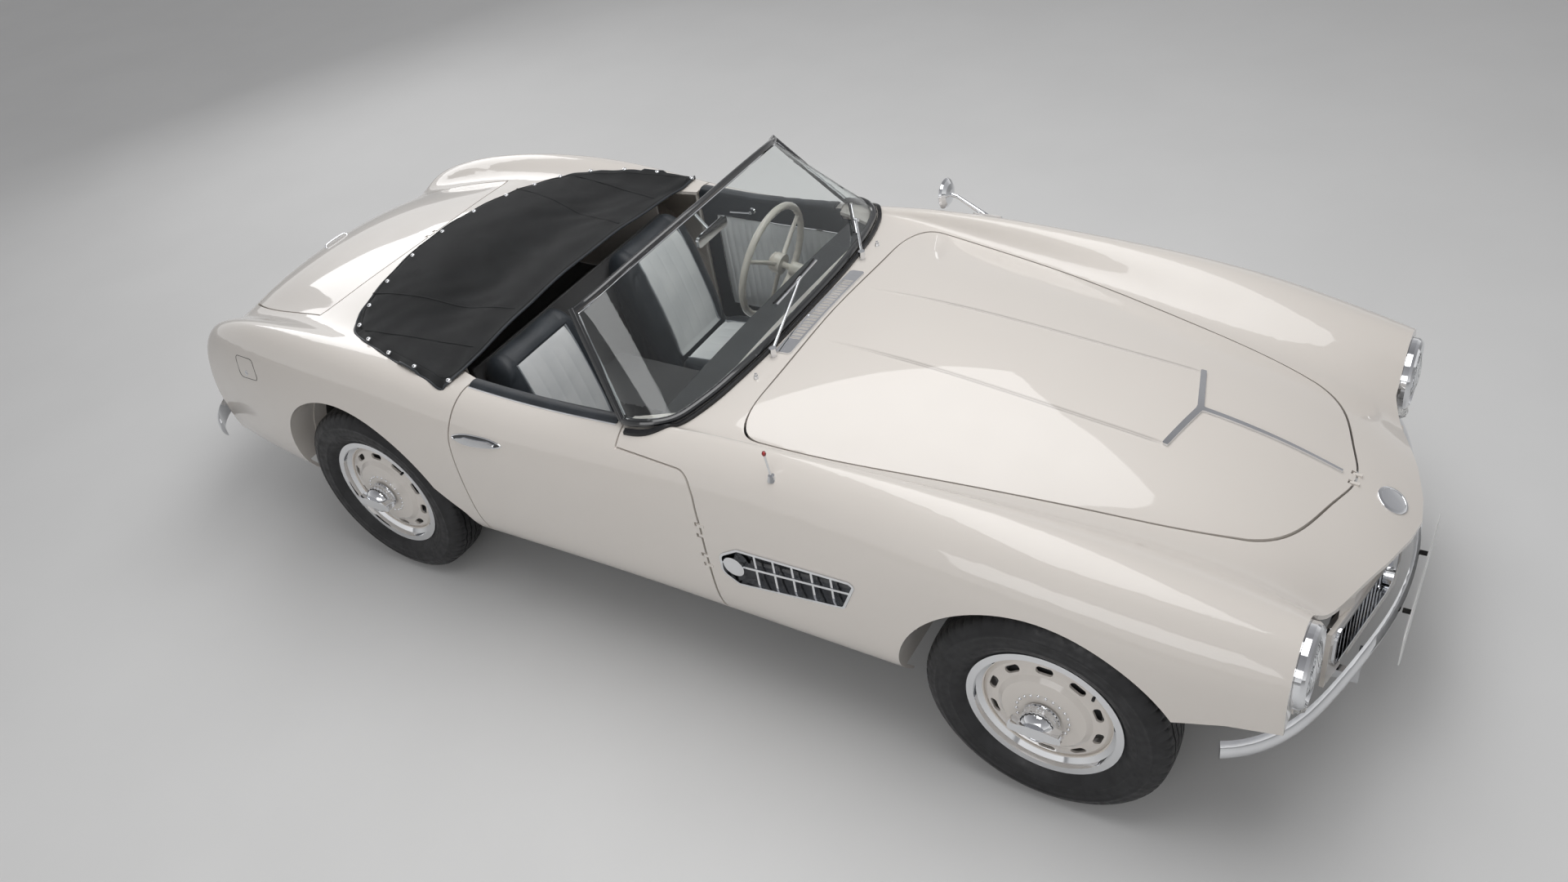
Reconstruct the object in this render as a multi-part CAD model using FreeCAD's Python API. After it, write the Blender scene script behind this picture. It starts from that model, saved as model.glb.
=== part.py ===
"""A two-seat roadster of the nineteen-fifties, full size, in millimetres.

X points forward, Y to the car's left and Z up. The origin is on the ground below the middle of the car.
The painted body is one pair of curved skins, drawn from a lines plan, that is cut where the real panels meet.
"""
import FreeCAD
import Part

import math
import os

V = FreeCAD.Vector

# Driving dimensions of the car
WHEELBASE = 2480.0
FRONT_OVERHANG = 790.0
REAR_OVERHANG = 1110.0
FRONT_TRACK = 1445.0
REAR_TRACK = 1425.0
BODY_HALF_WIDTH = 825.0
OVERALL_LENGTH = WHEELBASE + FRONT_OVERHANG + REAR_OVERHANG
FRONT_AXLE_X = OVERALL_LENGTH / 2 - FRONT_OVERHANG
REAR_AXLE_X = FRONT_AXLE_X - WHEELBASE

# Tyres and wheels
TYRE_RADIUS = 345.0
TYRE_WIDTH = 165.0
RIM_RADIUS = 203.0
RIM_WIDTH = 118.0
RIM_FLANGE = 17.0
SLOT_COUNT = 10
SLOT_CIRCLE = 152.0
SLOT_LENGTH = 48.0
SLOT_HEIGHT = 21.0
KINGPIN_OFFSET = 78.0
KINGPIN_RADIUS = 18.0
KINGPIN_EYE = 26.0

# Panels and gaps
SKIN = 12.0
LID_SKIN = 16.0
PANEL_GAP = 5.5
SEAT_GAP = 0.3
UNDER_Z = 200.0
SILL_Z = 282.0

# Hinges: the axis lies this far inside the skin and behind the leading edge
HINGE_INSET = 5.0
HINGE_LEAD = 5.0
HINGE_GAP = 7.5
HINGE_PIN = 3.0
RUNNING = 0.05
BARREL = 26.0
ARM = 10.0
ARM_CLEARANCE = 0.5

# Doors, seen from the side
DOOR_FRONT_X = 399.0
DOOR_REAR_X = -574.0
DOOR_INNER_Y = 645.0
COWL_SEAM_Z = 862.0

# Bonnet and boot lid
BONNET_FRONT_X = FRONT_AXLE_X + 574.0
BONNET_REAR_X = 408.0
BOOT_FRONT_X = REAR_AXLE_X - 238.0
BOOT_REAR_X = REAR_AXLE_X - 880.0

VALANCE_Z = 385.0
BUMPER_LOW_Z = 398.0
BUMPER_HIGH_Z = 466.0
GRILLE_LOW_Z = 432.0
GRILLE_HIGH_Z = 566.0
FACE_X = FRONT_AXLE_X + 712.0
FACE_SLOPE = 0.205
LIP_UNDER_Z = 578.0
VALANCE_Y = 545.0

# Vents behind the front wheels, seen from the side: rounded at the rear, slanted at the front
VENT_OUTLINE = [(445.0, 622.0), (439.0, 548.0), (493.0, 512.0), (851.0, 563.0), (897.0, 665.0), (878.0, 677.0), (510.0, 663.0)]
VENT_FLOOR_Y = 783.0
VENT_BARS = 5

# Rubber seal below the windscreen
SEAL_INNER = 15.0
SEAL_OUTER = 28.0
SEAL_HEIGHT = 9.0

# Sides of the windscreen's foot and top bars, and the radius of the foot bar
FOOT_BAR = 13.0
BAR_SIDES = 12

# Wiper blades and how far they stand ahead of the glass
BLADE_RADIUS = 4.0
BLADE_STAND = 16.0

# Towing eyes
TOW_BORE = 12.0
TOW_REACH = 50.0

# Nose
LIP_X = FRONT_AXLE_X + 746.0
LAMP_PLANE_X = FRONT_AXLE_X + 588.0
LAMP_Y = 620.0
LAMP_BORE = 92.0
LAMP_Z = 641.0
TURN_LAMP_Z = 502.0

# Wheel arches
FRONT_ARCH_RADIUS = 396.0
FRONT_ARCH_SHIFT = -22.0
FRONT_ARCH_Z = 330.0
REAR_ARCH_RADIUS = 390.0
REAR_ARCH_SHIFT = -20.0
REAR_ARCH_Z = 372.0


def fwd(offset):
    """A place measured forward from the front axle."""
    return FRONT_AXLE_X + offset


def aft(offset):
    """A place measured forward from the rear axle."""
    return REAR_AXLE_X + offset


def mirror_y(shape):
    return shape.mirror(V(0, 0, 0), V(0, 1, 0))


def both(shape):
    """The shape on the right of the car with its twin on the left."""
    return [shape, mirror_y(shape)]


def fuse(shapes):
    first = shapes[0]
    return first.fuse(shapes[1:]).removeSplitter() if len(shapes) > 1 else first


def largest(shape):
    return max(shape.Solids, key=lambda s: s.Volume)


def box(x0, x1, y0, y1, z0, z1):
    return Part.makeBox(x1 - x0, y1 - y0, z1 - z0, V(x0, y0, z0))


def rod(start, end, radius, end_radius=None):
    """A round bar from one point to another, tapered if it has a second radius."""
    a, b = V(*start), V(*end)
    length = (b - a).Length
    if end_radius is None or abs(end_radius - radius) < 1e-6:
        return Part.makeCylinder(radius, length, a, b - a)
    return Part.makeCone(radius, end_radius, length, a, b - a)


def prism(points, direction, rounding=0.0):
    """A flat outline pushed along a direction, its corners rounded."""
    face = Part.Face(rounded_wire(points, rounding))
    return face.extrude(direction)


def rounded_wire(points, rounding):
    """A closed polygon in space whose corners are arcs; rounding is one radius or one for each corner."""
    pts = [V(*p) for p in points]
    n = len(pts)
    radii = rounding if isinstance(rounding, (list, tuple)) else [rounding] * n
    edges, starts, ends, mids = [], [], [], []
    for i, p in enumerate(pts):
        before, after = pts[i - 1], pts[(i + 1) % n]
        u, w = (before - p), (after - p)
        lu, lw = u.Length, w.Length
        u.normalize()
        w.normalize()
        half = math.acos(max(-1.0, min(1.0, u.dot(w)))) / 2
        r = radii[i]
        if r <= 0 or half > math.pi / 2 - 1e-3:
            starts.append(p)
            ends.append(p)
            mids.append(None)
            continue
        back = min(r / math.tan(half), 0.49 * lu, 0.49 * lw)
        r = back * math.tan(half)
        bisector = u + w
        bisector.normalize()
        centre = p + bisector * (r / math.sin(half))
        starts.append(p + u * back)
        ends.append(p + w * back)
        mids.append(centre - bisector * r)
    for i in range(n):
        if mids[i] is not None:
            edges.append(Part.Arc(starts[i], mids[i], ends[i]).toShape())
        nxt = starts[(i + 1) % n]
        if (nxt - ends[i]).Length > 1e-6:
            edges.append(Part.LineSegment(ends[i], nxt).toShape())
    return Part.Wire(edges)


def revolve_y(profile, x, y, z, side):
    """A solid turned about a lateral axis; the profile is (radius, outboard distance) pairs."""
    pts = [V(x + r, y + side * d, z) for r, d in profile]
    wire = Part.makePolygon(pts + [pts[0]])
    return Part.Face(wire).revolve(V(x, y, z), V(0, 1, 0), 360)


def pipe(points, radius, bend=40.0):
    """A round bar or tube along straight runs joined by tangent arcs."""
    pts = [V(*p) for p in points]
    edges, here = [], pts[0]
    for i in range(1, len(pts) - 1):
        p = pts[i]
        u, w = (pts[i - 1] - p), (pts[i + 1] - p)
        lu, lw = u.Length, w.Length
        u.normalize()
        w.normalize()
        half = math.acos(max(-1.0, min(1.0, u.dot(w)))) / 2
        if half > math.pi / 2 - 1e-3:
            continue
        back = min(bend / math.tan(half), 0.45 * lu, 0.45 * lw)
        r = back * math.tan(half)
        bisector = u + w
        bisector.normalize()
        a, b = p + u * back, p + w * back
        mid = p + bisector * (r / math.sin(half) - r)
        edges += [Part.LineSegment(here, a).toShape(), Part.Arc(a, mid, b).toShape()]
        here = b
    edges.append(Part.LineSegment(here, pts[-1]).toShape())
    path = Part.Wire(edges)
    start = pts[1] - pts[0]
    ring = Part.Wire(Part.makeCircle(radius, pts[0], start))
    return path.makePipeShell([ring], True, False)


# Lines plan of the body

# Each regular station: x, height on the centreline, valley beside the bonnet or boot lid (y, z),
# crest of the wing (y, z), widest place (y, z) and the foot of the side y at sill height.
STATIONS = [
    (aft(-820.0), 818.0, 500.0, 772.0, 636.0, 812.0, 728.0, 585.0, 648.0),
    (aft(-640.0), 868.0, 520.0, 818.0, 664.0, 872.0, 762.0, 610.0, 676.0),
    (aft(-400.0), 912.0, 540.0, 866.0, 690.0, 910.0, 795.0, 640.0, 700.0),
    (aft(-150.0), 947.0, 556.0, 896.0, 712.0, 926.0, 815.0, 650.0, 716.0),
    (aft(120.0), 950.0, 570.0, 902.0, 728.0, 921.0, 821.0, 650.0, 722.0),
    (aft(400.0), 935.0, 585.0, 892.0, 724.0, 898.0, 815.0, 650.0, 722.0),
    (aft(720.0), 915.0, 600.0, 880.0, 700.0, 880.0, 806.0, 650.0, 716.0),
    (aft(1020.0), 915.0, 610.0, 886.0, 690.0, 890.0, 802.0, 650.0, 712.0),
    (fwd(-1180.0), 918.0, 612.0, 902.0, 680.0, 912.0, 804.0, 650.0, 712.0),
    (fwd(-980.0), 934.0, 612.0, 894.0, 676.0, 930.0, 808.0, 650.0, 714.0),
    (fwd(-720.0), 936.0, 590.0, 866.0, 672.0, 934.0, 812.0, 650.0, 716.0),
    (fwd(-420.0), 911.0, 545.0, 846.0, 666.0, 922.0, 818.0, 650.0, 718.0),
    (fwd(-120.0), 874.0, 498.0, 812.0, 662.0, 900.0, 822.0, 648.0, 716.0),
    (fwd(150.0), 842.0, 456.0, 772.0, 652.0, 866.0, 816.0, 640.0, 700.0),
    (fwd(370.0), 788.0, 440.0, 728.0, 634.0, 824.0, 794.0, 630.0, 668.0),
    (fwd(520.0), 732.0, 436.0, 672.0, 620.0, 792.0, 768.0, 622.0, 636.0),
    (fwd(640.0), 684.0, 430.0, 600.0, 612.0, 762.0, 745.0, 615.0, 610.0),
    (fwd(760.0), 612.0, 424.0, 540.0, 606.0, 726.0, 720.0, 600.0, 580.0),
    (fwd(860.0), 520.0, 420.0, 470.0, 600.0, 690.0, 700.0, 590.0, 560.0),
]

# The tail rolls over and under; each row has its centre height point, valley, crest, widest place and foot.
TAIL_ROWS = [
    ((aft(-850.0), UNDER_Z), (aft(-850.0), 260.0, UNDER_Z), (aft(-848.0), 420.0, UNDER_Z),
     (aft(-842.0), 500.0, UNDER_Z), (aft(-836.0), 530.0, UNDER_Z)),
    ((aft(-975.0), 330.0), (aft(-965.0), 400.0, 330.0), (aft(-925.0), 560.0, 335.0),
     (aft(-868.0), 632.0, 340.0), (aft(-833.0), 600.0, 232.0)),
    ((aft(-1028.0), 480.0), (aft(-1012.0), 450.0, 478.0), (aft(-965.0), 612.0, 480.0),
     (aft(-888.0), 686.0, 440.0), (aft(-830.0), 622.0, 250.0)),
    ((aft(-1030.0), 640.0), (aft(-1002.0), 475.0, 620.0), (aft(-955.0), 628.0, 640.0),
     (aft(-875.0), 712.0, 520.0), (aft(-827.0), 636.0, 268.0)),
    ((aft(-950.0), 752.0), (aft(-920.0), 490.0, 712.0), (aft(-890.0), 632.0, 750.0),
     (aft(-848.0), 724.0, 560.0), (aft(-824.0), 644.0, SILL_Z)),
]

CROWN_POWER = 0.9
WING_BULGE = 0.60


def section(row, heel):
    """Points of one station from the centre down to the heel below the sill, from its key places."""
    (xc, zc), (xv, yv, zv), (xr, yr, zr), (xm, ym, zm), (xb, yb, zb) = row
    pts = [(xc, 0.0, zc)]
    for share in (0.36, 0.70):
        fall = math.cos(share * math.pi / 2) ** CROWN_POWER
        pts.append((xc + (xv - xc) * share ** 2, yv * share, zv + (zc - zv) * fall))
    pts.append((xv, yv, zv))
    pts.append((xv + (xr - xv) * 0.5, yv + (yr - yv) * 0.5, zv + (zr - zv) * WING_BULGE))
    pts.append((xr, yr, zr))
    for angle in (38.0, 66.0):
        s, c = math.sin(math.radians(angle)), math.cos(math.radians(angle))
        pts.append((xr + (xm - xr) * s, yr + (ym - yr) * s, zm + (zr - zm) * c))
    pts.append((xm, ym, zm))
    for out, up in ((0.90, 0.52), (0.58, 0.18)):
        pts.append((xb + (xm - xb) * out, yb + (ym - yb) * out, zb + (zm - zb) * up))
    pts.append((xb, yb, zb))
    pts.append((heel[0], heel[1], UNDER_Z))
    return pts


def body_rows():
    """Sections from below the tail to beyond the nose, each with its points on the left half."""
    rows = []
    for i, row in enumerate(TAIL_ROWS):
        rows.append(section(row, (aft(-834.0 + 6.0 * i), 545.0 + 2.5 * i)))
    for x, zc, yv, zv, yr, zr, ym, zm, yb in STATIONS:
        rows.append(section(((x, zc), (x, yv, zv), (x, yr, zr), (x, ym, zm), (x, yb, SILL_Z)), (max(x, aft(-780.0)), yb - 90.0)))
    widest = max(p[1] for row in rows for p in row)
    spread = BODY_HALF_WIDTH / widest
    return [[(x, y * spread, z) for x, y, z in row] for row in rows]


def sharpened(points):
    """Poles that bring a cubic spline close to the given points."""
    out = [points[0]]
    for a, b, c in zip(points, points[1:], points[2:]):
        out.append(b - (a - b * 2 + c) * (1 / 6.0))
    return out + [points[-1]]


def body_net():
    """Poles of the whole outer skin, from the right foot over the top to the left foot."""
    net = []
    for row in body_rows():
        left = [V(*p) for p in row]
        right = [V(p.x, -p.y, p.z) for p in reversed(left[1:])]
        net.append(right + left)
    net = [sharpened(row) for row in net]
    columns = [sharpened(list(col)) for col in zip(*net)]
    return [list(row) for row in zip(*columns)]


def net_normals(net):
    """Outward unit vectors at the poles, from the neighbouring poles."""
    rows, cols = len(net), len(net[0])
    normals = []
    for i in range(rows):
        line = []
        for j in range(cols):
            along = net[min(i + 1, rows - 1)][j] - net[max(i - 1, 0)][j]
            across = net[i][min(j + 1, cols - 1)] - net[i][max(j - 1, 0)]
            n = along.cross(across)
            n.normalize()
            line.append(n)
        normals.append(line)
    return normals


def spline_face(net):
    """A cubic surface over a net of poles, clamped at its four edges."""
    rows, cols = len(net), len(net[0])

    def knots(n):
        inner = list(range(1, n - 3))
        values = [0] + inner + [n - 3]
        return [float(k) for k in values], [4] + [1] * len(inner) + [4]

    ku, mu = knots(rows)
    kv, mv = knots(cols)
    surface = Part.BSplineSurface()
    surface.buildFromPolesMultsKnots(net, mu, mv, ku, kv, False, False, 3, 3)
    return surface.toShape()


made_bodies = {}


def closed_body(inset, floor_z):
    """The body as one solid, its skin moved inwards by the inset, open to nothing."""
    if (inset, floor_z) not in made_bodies:
        made_bodies[inset, floor_z] = new_body(inset, floor_z)
    return made_bodies[inset, floor_z]


def new_body(inset, floor_z):
    net = body_net()
    normals = net_normals(net)
    rows, cols = len(net), len(net[0])
    moved = []
    for i in range(rows):
        line = []
        for j in range(cols):
            p = net[i][j] - normals[i][j] * inset
            if j in (0, cols - 1):
                side = -1.0 if j == 0 else 1.0
                p = V(net[i][j].x, net[i][j].y - side * inset, floor_z)
            if i == 0:
                p = V(net[i][j].x + inset, p.y, floor_z)
            if i == rows - 1:
                p = V(net[i][j].x, p.y, p.z)
            line.append(p)
        moved.append(line)
    skin = spline_face(moved)
    front = [e for e in skin.Edges if min(v.X for v in e.Vertexes) > moved[-1][0].x - 1][0]
    low = [e for e in skin.Edges if not e.isSame(front)]
    a, b = V(moved[-1][0]), V(moved[-1][-1])
    chord = Part.LineSegment(a, b).toShape()
    bottom = Part.Face(Part.Wire(Part.__sortEdges__(low + [chord])))
    nose = Part.Face(Part.Wire(Part.__sortEdges__([front, chord])))
    shell = Part.Shell([skin, bottom, nose])
    shell.sewShape()
    solid = Part.Solid(shell)
    if solid.Volume < 0:
        solid.reverse()
    return solid


def ground_line(drop=0.0):
    """The lower edge of the body seen from the side, as a solid below it."""
    z = UNDER_Z - 100.0
    low = [(-2300.0, z), (-2300.0, 392.0 - drop), (aft(-880.0), 372.0 - drop), (aft(-400.0), 300.0 - drop),
           (aft(420.0), SILL_Z - drop), (fwd(-400.0), SILL_Z - drop), (fwd(200.0), SILL_Z + 70.0 - drop),
           (fwd(380.0), VALANCE_Z - drop), (2400.0, VALANCE_Z - drop), (2400.0, z)]
    high = [(fwd(100.0), z), (fwd(100.0), 430.0 - drop), (fwd(372.0), 508.0 - drop), (fwd(460.0), 528.0 - drop),
            (2400.0, 532.0 - drop), (2400.0, z)]
    centre = prism([(x, -1000.0, zz) for x, zz in low], V(0, 2000.0, 0))
    flank = prism([(x, VALANCE_Y, zz) for x, zz in high], V(0, 1000.0, 0), [0, 0, 60.0, 40.0, 0, 0])
    return fuse([centre] + both(flank))


def front_arch(grow=0.0, y0=430.0, y1=1000.0):
    c = Part.makeCylinder(FRONT_ARCH_RADIUS + grow, y1 - y0, V(fwd(FRONT_ARCH_SHIFT), y0, FRONT_ARCH_Z), V(0, 1, 0))
    return c


def rear_arch(grow=0.0, y0=560.0, y1=1000.0):
    x, z, r = aft(REAR_ARCH_SHIFT), REAR_ARCH_Z, REAR_ARCH_RADIUS + grow
    round_part = Part.makeCylinder(r, y1 - y0, V(x, y0, z), V(0, 1, 0))
    lead = [(x, y0, z + r), (x + 150.0, y0, z + r - 42.0), (x + 460.0 + grow, y0, 415.0), (x + 500.0 + grow, y0, 240.0),
            (x, y0, 240.0)]
    return fuse([round_part, prism(lead, V(0, y1 - y0, 0), [0, 150.0, 60.0, 0, 0])])


def hood_plan(shrink, z0=640.0, z1=1100.0):
    """The bonnet's outline from above, pushed upwards; shrink draws its edge in by a gap."""
    g = shrink
    half = [(BONNET_REAR_X + g, 0.0), (BONNET_REAR_X + 2.0 + g, 380.0), (BONNET_REAR_X + 9.0 + g, 530.0),
            (BONNET_REAR_X + 36.0 + g, 588.0 - g), (BONNET_REAR_X + 100.0, 608.0 - g), (600.0, 599.0 - g),
            (980.0, 541.0 - g), (fwd(-1.0), 457.0 - g), (fwd(240.0), 404.0 - g), (fwd(389.0) - g, 357.0 - g),
            (fwd(470.0) - g, 292.0 - g), (fwd(544.0) - g, 115.0 - 0.5 * g), (BONNET_FRONT_X - g, 0.0)]
    rear = [V(x, y, z0) for x, y in half[:5]]
    side = [V(x, y, z0) for x, y in half[4:10]]
    nose = [V(x, y, z0) for x, y in half[9:]]
    nose = nose + [V(p.x, -p.y, p.z) for p in reversed(nose[:-1])]
    rear = [V(p.x, -p.y, p.z) for p in reversed(rear[1:])] + rear
    other = [V(p.x, -p.y, p.z) for p in side]
    edges = []
    for run in (side, nose, other, rear):
        curve = Part.BSplineCurve()
        curve.interpolate(run)
        edges.append(curve.toShape())
    wire = Part.Wire(Part.__sortEdges__(edges))
    return Part.Face(wire).extrude(V(0, 0, z1 - z0))


def boot_plan(shrink, z0=560.0, z1=1100.0):
    """The boot lid's outline from above."""
    g = shrink
    half = [(BOOT_FRONT_X - g, 0.0), (aft(-272.0) - g, 300.0), (aft(-330.0) - g, 525.0 - g), (aft(-480.0), 515.0 - g),
            (aft(-720.0), 478.0 - g), (aft(-850.0) + g, 430.0 - g), (BOOT_REAR_X + g, 0.0)]
    front = [V(x, y, z0) for x, y in half[:3]]
    front = [V(p.x, -p.y, p.z) for p in reversed(front[1:])] + front
    side = [V(x, y, z0) for x, y in half[2:6]]
    rear = [V(x, y, z0) for x, y in half[5:]]
    rear = rear + [V(p.x, -p.y, p.z) for p in reversed(rear[:-1])]
    other = [V(p.x, -p.y, p.z) for p in side]
    edges = []
    for run in (front, side, rear, other):
        curve = Part.BSplineCurve()
        curve.interpolate(run)
        edges.append(curve.toShape())
    wire = Part.Wire(Part.__sortEdges__(edges))
    return Part.Face(wire).extrude(V(0, 0, z1 - z0))


def cockpit_plan(grow=0.0, z0=200.0, z1=1100.0):
    """The opening of the cockpit from above, with a round rear end."""
    pts = [(262.0, 560.0), (262.0, -560.0), (80.0, -640.0), (-520.0, -645.0), (-1060.0, -520.0), (-1150.0, 0.0),
           (-1060.0, 520.0), (-520.0, 645.0), (80.0, 640.0)]
    pts = [(x, y, z0) for x, y in pts]
    return prism(pts, V(0, 0, z1 - z0), [60.0, 60.0, 200.0, 0.0, 260.0, 900.0, 260.0, 0.0, 200.0])


def door_side(shrink, y0, y1):
    """The door's outline from the side, pushed across the car; shrink draws its edge in by a gap."""
    g, h = shrink, shrink * HINGE_GAP / PANEL_GAP
    pts = [(384.0 - h, 200.0), (DOOR_FRONT_X - h, 560.0), (DOOR_FRONT_X - h, 700.0), (380.0 - h, 800.0),
           (350.0 - h, COWL_SEAM_Z - g), (90.0 - g, COWL_SEAM_Z + 2.0 - g), (70.0 - g, 1100.0),
           (-520.0, 1100.0), (-540.0 + g, 900.0), (DOOR_REAR_X + g, 760.0), (DOOR_REAR_X + g, 420.0),
           (-566.0 + g, 200.0)]
    pts = [(x, y0, z) for x, z in pts]
    return prism(pts, V(0, y1 - y0, 0), [0, 200.0, 200.0, 90.0, 60.0, 0, 0, 0, 300.0, 200.0, 200.0, 0])


def door_depth(gap):
    """How far in the left door reaches: a slanted rear shut face clears the post as the door swings."""
    pts = [(500.0, DOOR_INNER_Y + gap), (500.0, 1000.0), (-640.0, 1000.0), (-614.0 + gap, 990.0),
           (-541.0 + gap, DOOR_INNER_Y + gap)]
    return prism([(x, y, 150.0) for x, y in pts], V(0, 0, 1000.0))


def nose_cut():
    """Everything ahead of the overhanging V of the lip, of the lamp planes and of the lower face of the nose."""
    lamp = [(LAMP_PLANE_X, 470.0), (LAMP_PLANE_X, 1000.0), (2500.0, 1000.0)]
    high = [(LIP_X - 2.0, 0.0), (LIP_X - 14.0, 82.0), (LIP_X - 48.0, 197.0), (LIP_X - 142.0, 432.0)] + lamp
    low = [(FACE_X, 0.0), (FACE_X - 10.0, 60.0), (FACE_X - 10.0 - 385.0 * FACE_SLOPE, 445.0)] + lamp
    high = high + [(x, -y) for x, y in reversed(high[1:])]
    low = low + [(x, -y) for x, y in reversed(low[1:])]
    round_high = [20.0, 60.0, 200.0, 10.0, 0, 0, 0, 0, 0, 10.0, 200.0, 60.0, 20.0][:len(high)]
    above = prism([(x, y, LIP_UNDER_Z) for x, y in high], V(0, 0, 1000.0))
    below = prism([(x, y, 100.0) for x, y in low], V(0, 0, LIP_UNDER_Z - 100.0))
    return above.fuse(below)


def nose_panel(back, thickness, z0, z1):
    """An upright wall that follows the shallow V of the lower nose, set back from its face."""
    def line(shift):
        x = FACE_X - shift
        return [(x, 0.0), (x - 10.0, 60.0), (x - 10.0 - 385.0 * FACE_SLOPE, 445.0)]
    outer, inner = line(back), line(back + thickness)
    ring = outer + list(reversed(inner)) + [(x, -y) for x, y in inner[1:]] + [(x, -y) for x, y in reversed(outer[1:])]
    return prism([(x, y, z0) for x, y in ring], V(0, 0, z1 - z0))


def hinge(point, along, lead):
    """A leaf hinge on an axis: what the moving panel gains and loses, and what the body gains.

    The arms come from the body on the leading side; along is the axis and lead points to the body.
    """
    p, a, f = V(*point), V(*along), V(*lead)
    up = a.cross(f)
    half = BARREL / 2
    pockets, arms = [], []
    for s in (-1.0, 1.0):
        lo = half if s > 0 else -(half + ARM + 4.0)
        pockets.append(Part.makeCylinder(11.0, ARM + 4.0, p + a * lo, a))
        lo = half + ARM_CLEARANCE if s > 0 else -(half + ARM_CLEARANCE + ARM)
        eye = Part.makeCylinder(HINGE_INSET - 0.5, ARM, p + a * lo, a)
        corner = p + a * lo - up * (HINGE_INSET - 0.5)
        reach = HINGE_LEAD + HINGE_GAP + 9.0
        wide, thick = a * ARM, up * (2 * HINGE_INSET - 1.0)
        face = Part.Face(Part.makePolygon([corner, corner + wide, corner + wide + thick, corner + thick, corner]))
        arms.append(eye)
        arms.append(face.extrude(f * reach))
    pin = Part.makeCylinder(HINGE_PIN, BARREL + 2 * ARM, p - a * (half + ARM), a)
    barrel = Part.makeCylinder(HINGE_INSET - 0.5, BARREL, p - a * half, a)
    bore = Part.makeCylinder(HINGE_PIN + RUNNING, BARREL + 2.0, p - a * (half + 1.0), a)
    return barrel, pockets, bore, fuse(arms + [pin])


def hinged(panel, spots, along, lead):
    """The panel with its hinge barrels, and the arms that the body gains."""
    arms = []
    for point in spots:
        barrel, pockets, bore, arm = hinge(point, along, lead)
        panel = panel.cut(pockets).fuse(barrel).cut(bore)
        arms.append(arm)
    return largest(panel), arms


# Wheels and tyres

def tyre(x, y, side):
    half = TYRE_WIDTH / 2
    r0, r1 = RIM_RADIUS + 0.1, TYRE_RADIUS
    wall = [(r0, 54.0), (r0 + RIM_FLANGE + 1.0, 54.0), (r0 + 36.0, half - 12.0), (r0 + 70.0, half - 0.5), (r0 + 95.0, half - 2.0),
            (r1 - 22.0, half - 12.0), (r1 - 8.0, half - 24.0), (r1 - 2.0, half - 38.0), (r1, half - 62.0)]
    inner = [(r0, 40.0), (r0 + 14.0, 46.0), (r0 + 60.0, half - 18.0), (r1 - 34.0, half - 28.0), (r1 - 16.0, half - 60.0)]
    ring = wall + [(r, -d) for r, d in reversed(wall)] + [(r, -d) for r, d in inner] + list(reversed(inner))
    return revolve_y(ring, x, y, TYRE_RADIUS, side)


def wheel(x, y, side):
    """Drop-centre rim, pressed disc with slots, hub, brake drum and a two-eared nut."""
    t = 4.0
    half = RIM_WIDTH / 2
    r = RIM_RADIUS
    rim = [(r, half - 4.5), (r + RIM_FLANGE, half - 4.0), (r + RIM_FLANGE, half), (r - t, half), (r - t, 42.0),
           (r - 18.0 - t, 32.0), (r - 18.0 - t, -32.0), (r - t, -42.0), (r - t, -half), (r + RIM_FLANGE, -half),
           (r + RIM_FLANGE, -half + 4.0), (r, -half + 4.5), (r, -40.0), (r - 18.0, -30.0), (r - 18.0, 30.0), (r, 40.0)]
    disc = [(r - 20.0, 24.0), (170.0, 34.0), (152.0, 40.0), (132.0, 44.0), (118.0, 54.0), (80.0, 60.0), (40.0, 60.0),
            (40.0, 52.0), (78.0, 53.0), (112.0, 48.0), (128.0, 37.0), (152.0, 33.0), (166.0, 28.0), (r - 20.0, 16.0)]
    hub = [(22.0 + RUNNING, -34.0), (50.0, -34.0), (50.0, 60.0), (22.0 + RUNNING, 60.0)]
    drum = [(45.0, -30.0), (145.0, -30.0), (145.0, 16.0), (130.0, 22.0), (45.0, 22.0)]
    cap = [(0.0, 60.5), (42.0, 60.5), (42.0, 72.0), (34.0, 84.0), (26.0, 110.0), (18.0, 118.0), (0.0, 122.0)]
    body = fuse([revolve_y(q, x, y, TYRE_RADIUS, side) for q in (rim, disc, hub, drum)])
    slots = []
    for i in range(SLOT_COUNT):
        high, run = SLOT_HEIGHT / 2, SLOT_LENGTH - SLOT_HEIGHT
        one = Part.makeCylinder(high, 40.0, V(0, 0, 0), V(0, 1, 0))
        one = one.fuse([Part.makeCylinder(high, 40.0, V(run, 0, 0), V(0, 1, 0)), box(0, run, 0, 40.0, -high, high)])
        one.translate(V(-run / 2, 0, SLOT_CIRCLE))
        one.rotate(V(0, 0, 0), V(0, 1, 0), 360.0 * i / SLOT_COUNT)
        one.translate(V(x, y + side * 44.0 - 20.0, TYRE_RADIUS))
        slots.append(one)
    body = body.cut(slots)
    nut = revolve_y(cap, x, y, TYRE_RADIUS, side)
    y0, y1 = sorted((y + side * 96.0, y + side * 126.0))
    ears = prism([(x - 74.0, y0, 345.0 + 12.0), (x - 20.0, y0, 345.0 + 20.0), (x + 20.0, y0, 345.0 + 20.0),
                  (x + 74.0, y0, 345.0 + 12.0), (x + 74.0, y0, 345.0 - 12.0), (x + 20.0, y0, 345.0 - 20.0),
                  (x - 20.0, y0, 345.0 - 20.0), (x - 74.0, y0, 345.0 - 12.0)], V(0, y1 - y0, 0), 8.0)
    return largest(fuse([body, nut, ears, rod((x, y + side * 59.0, TYRE_RADIUS), (x, y + side * 62.0, TYRE_RADIUS), 30.0)]))


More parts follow.
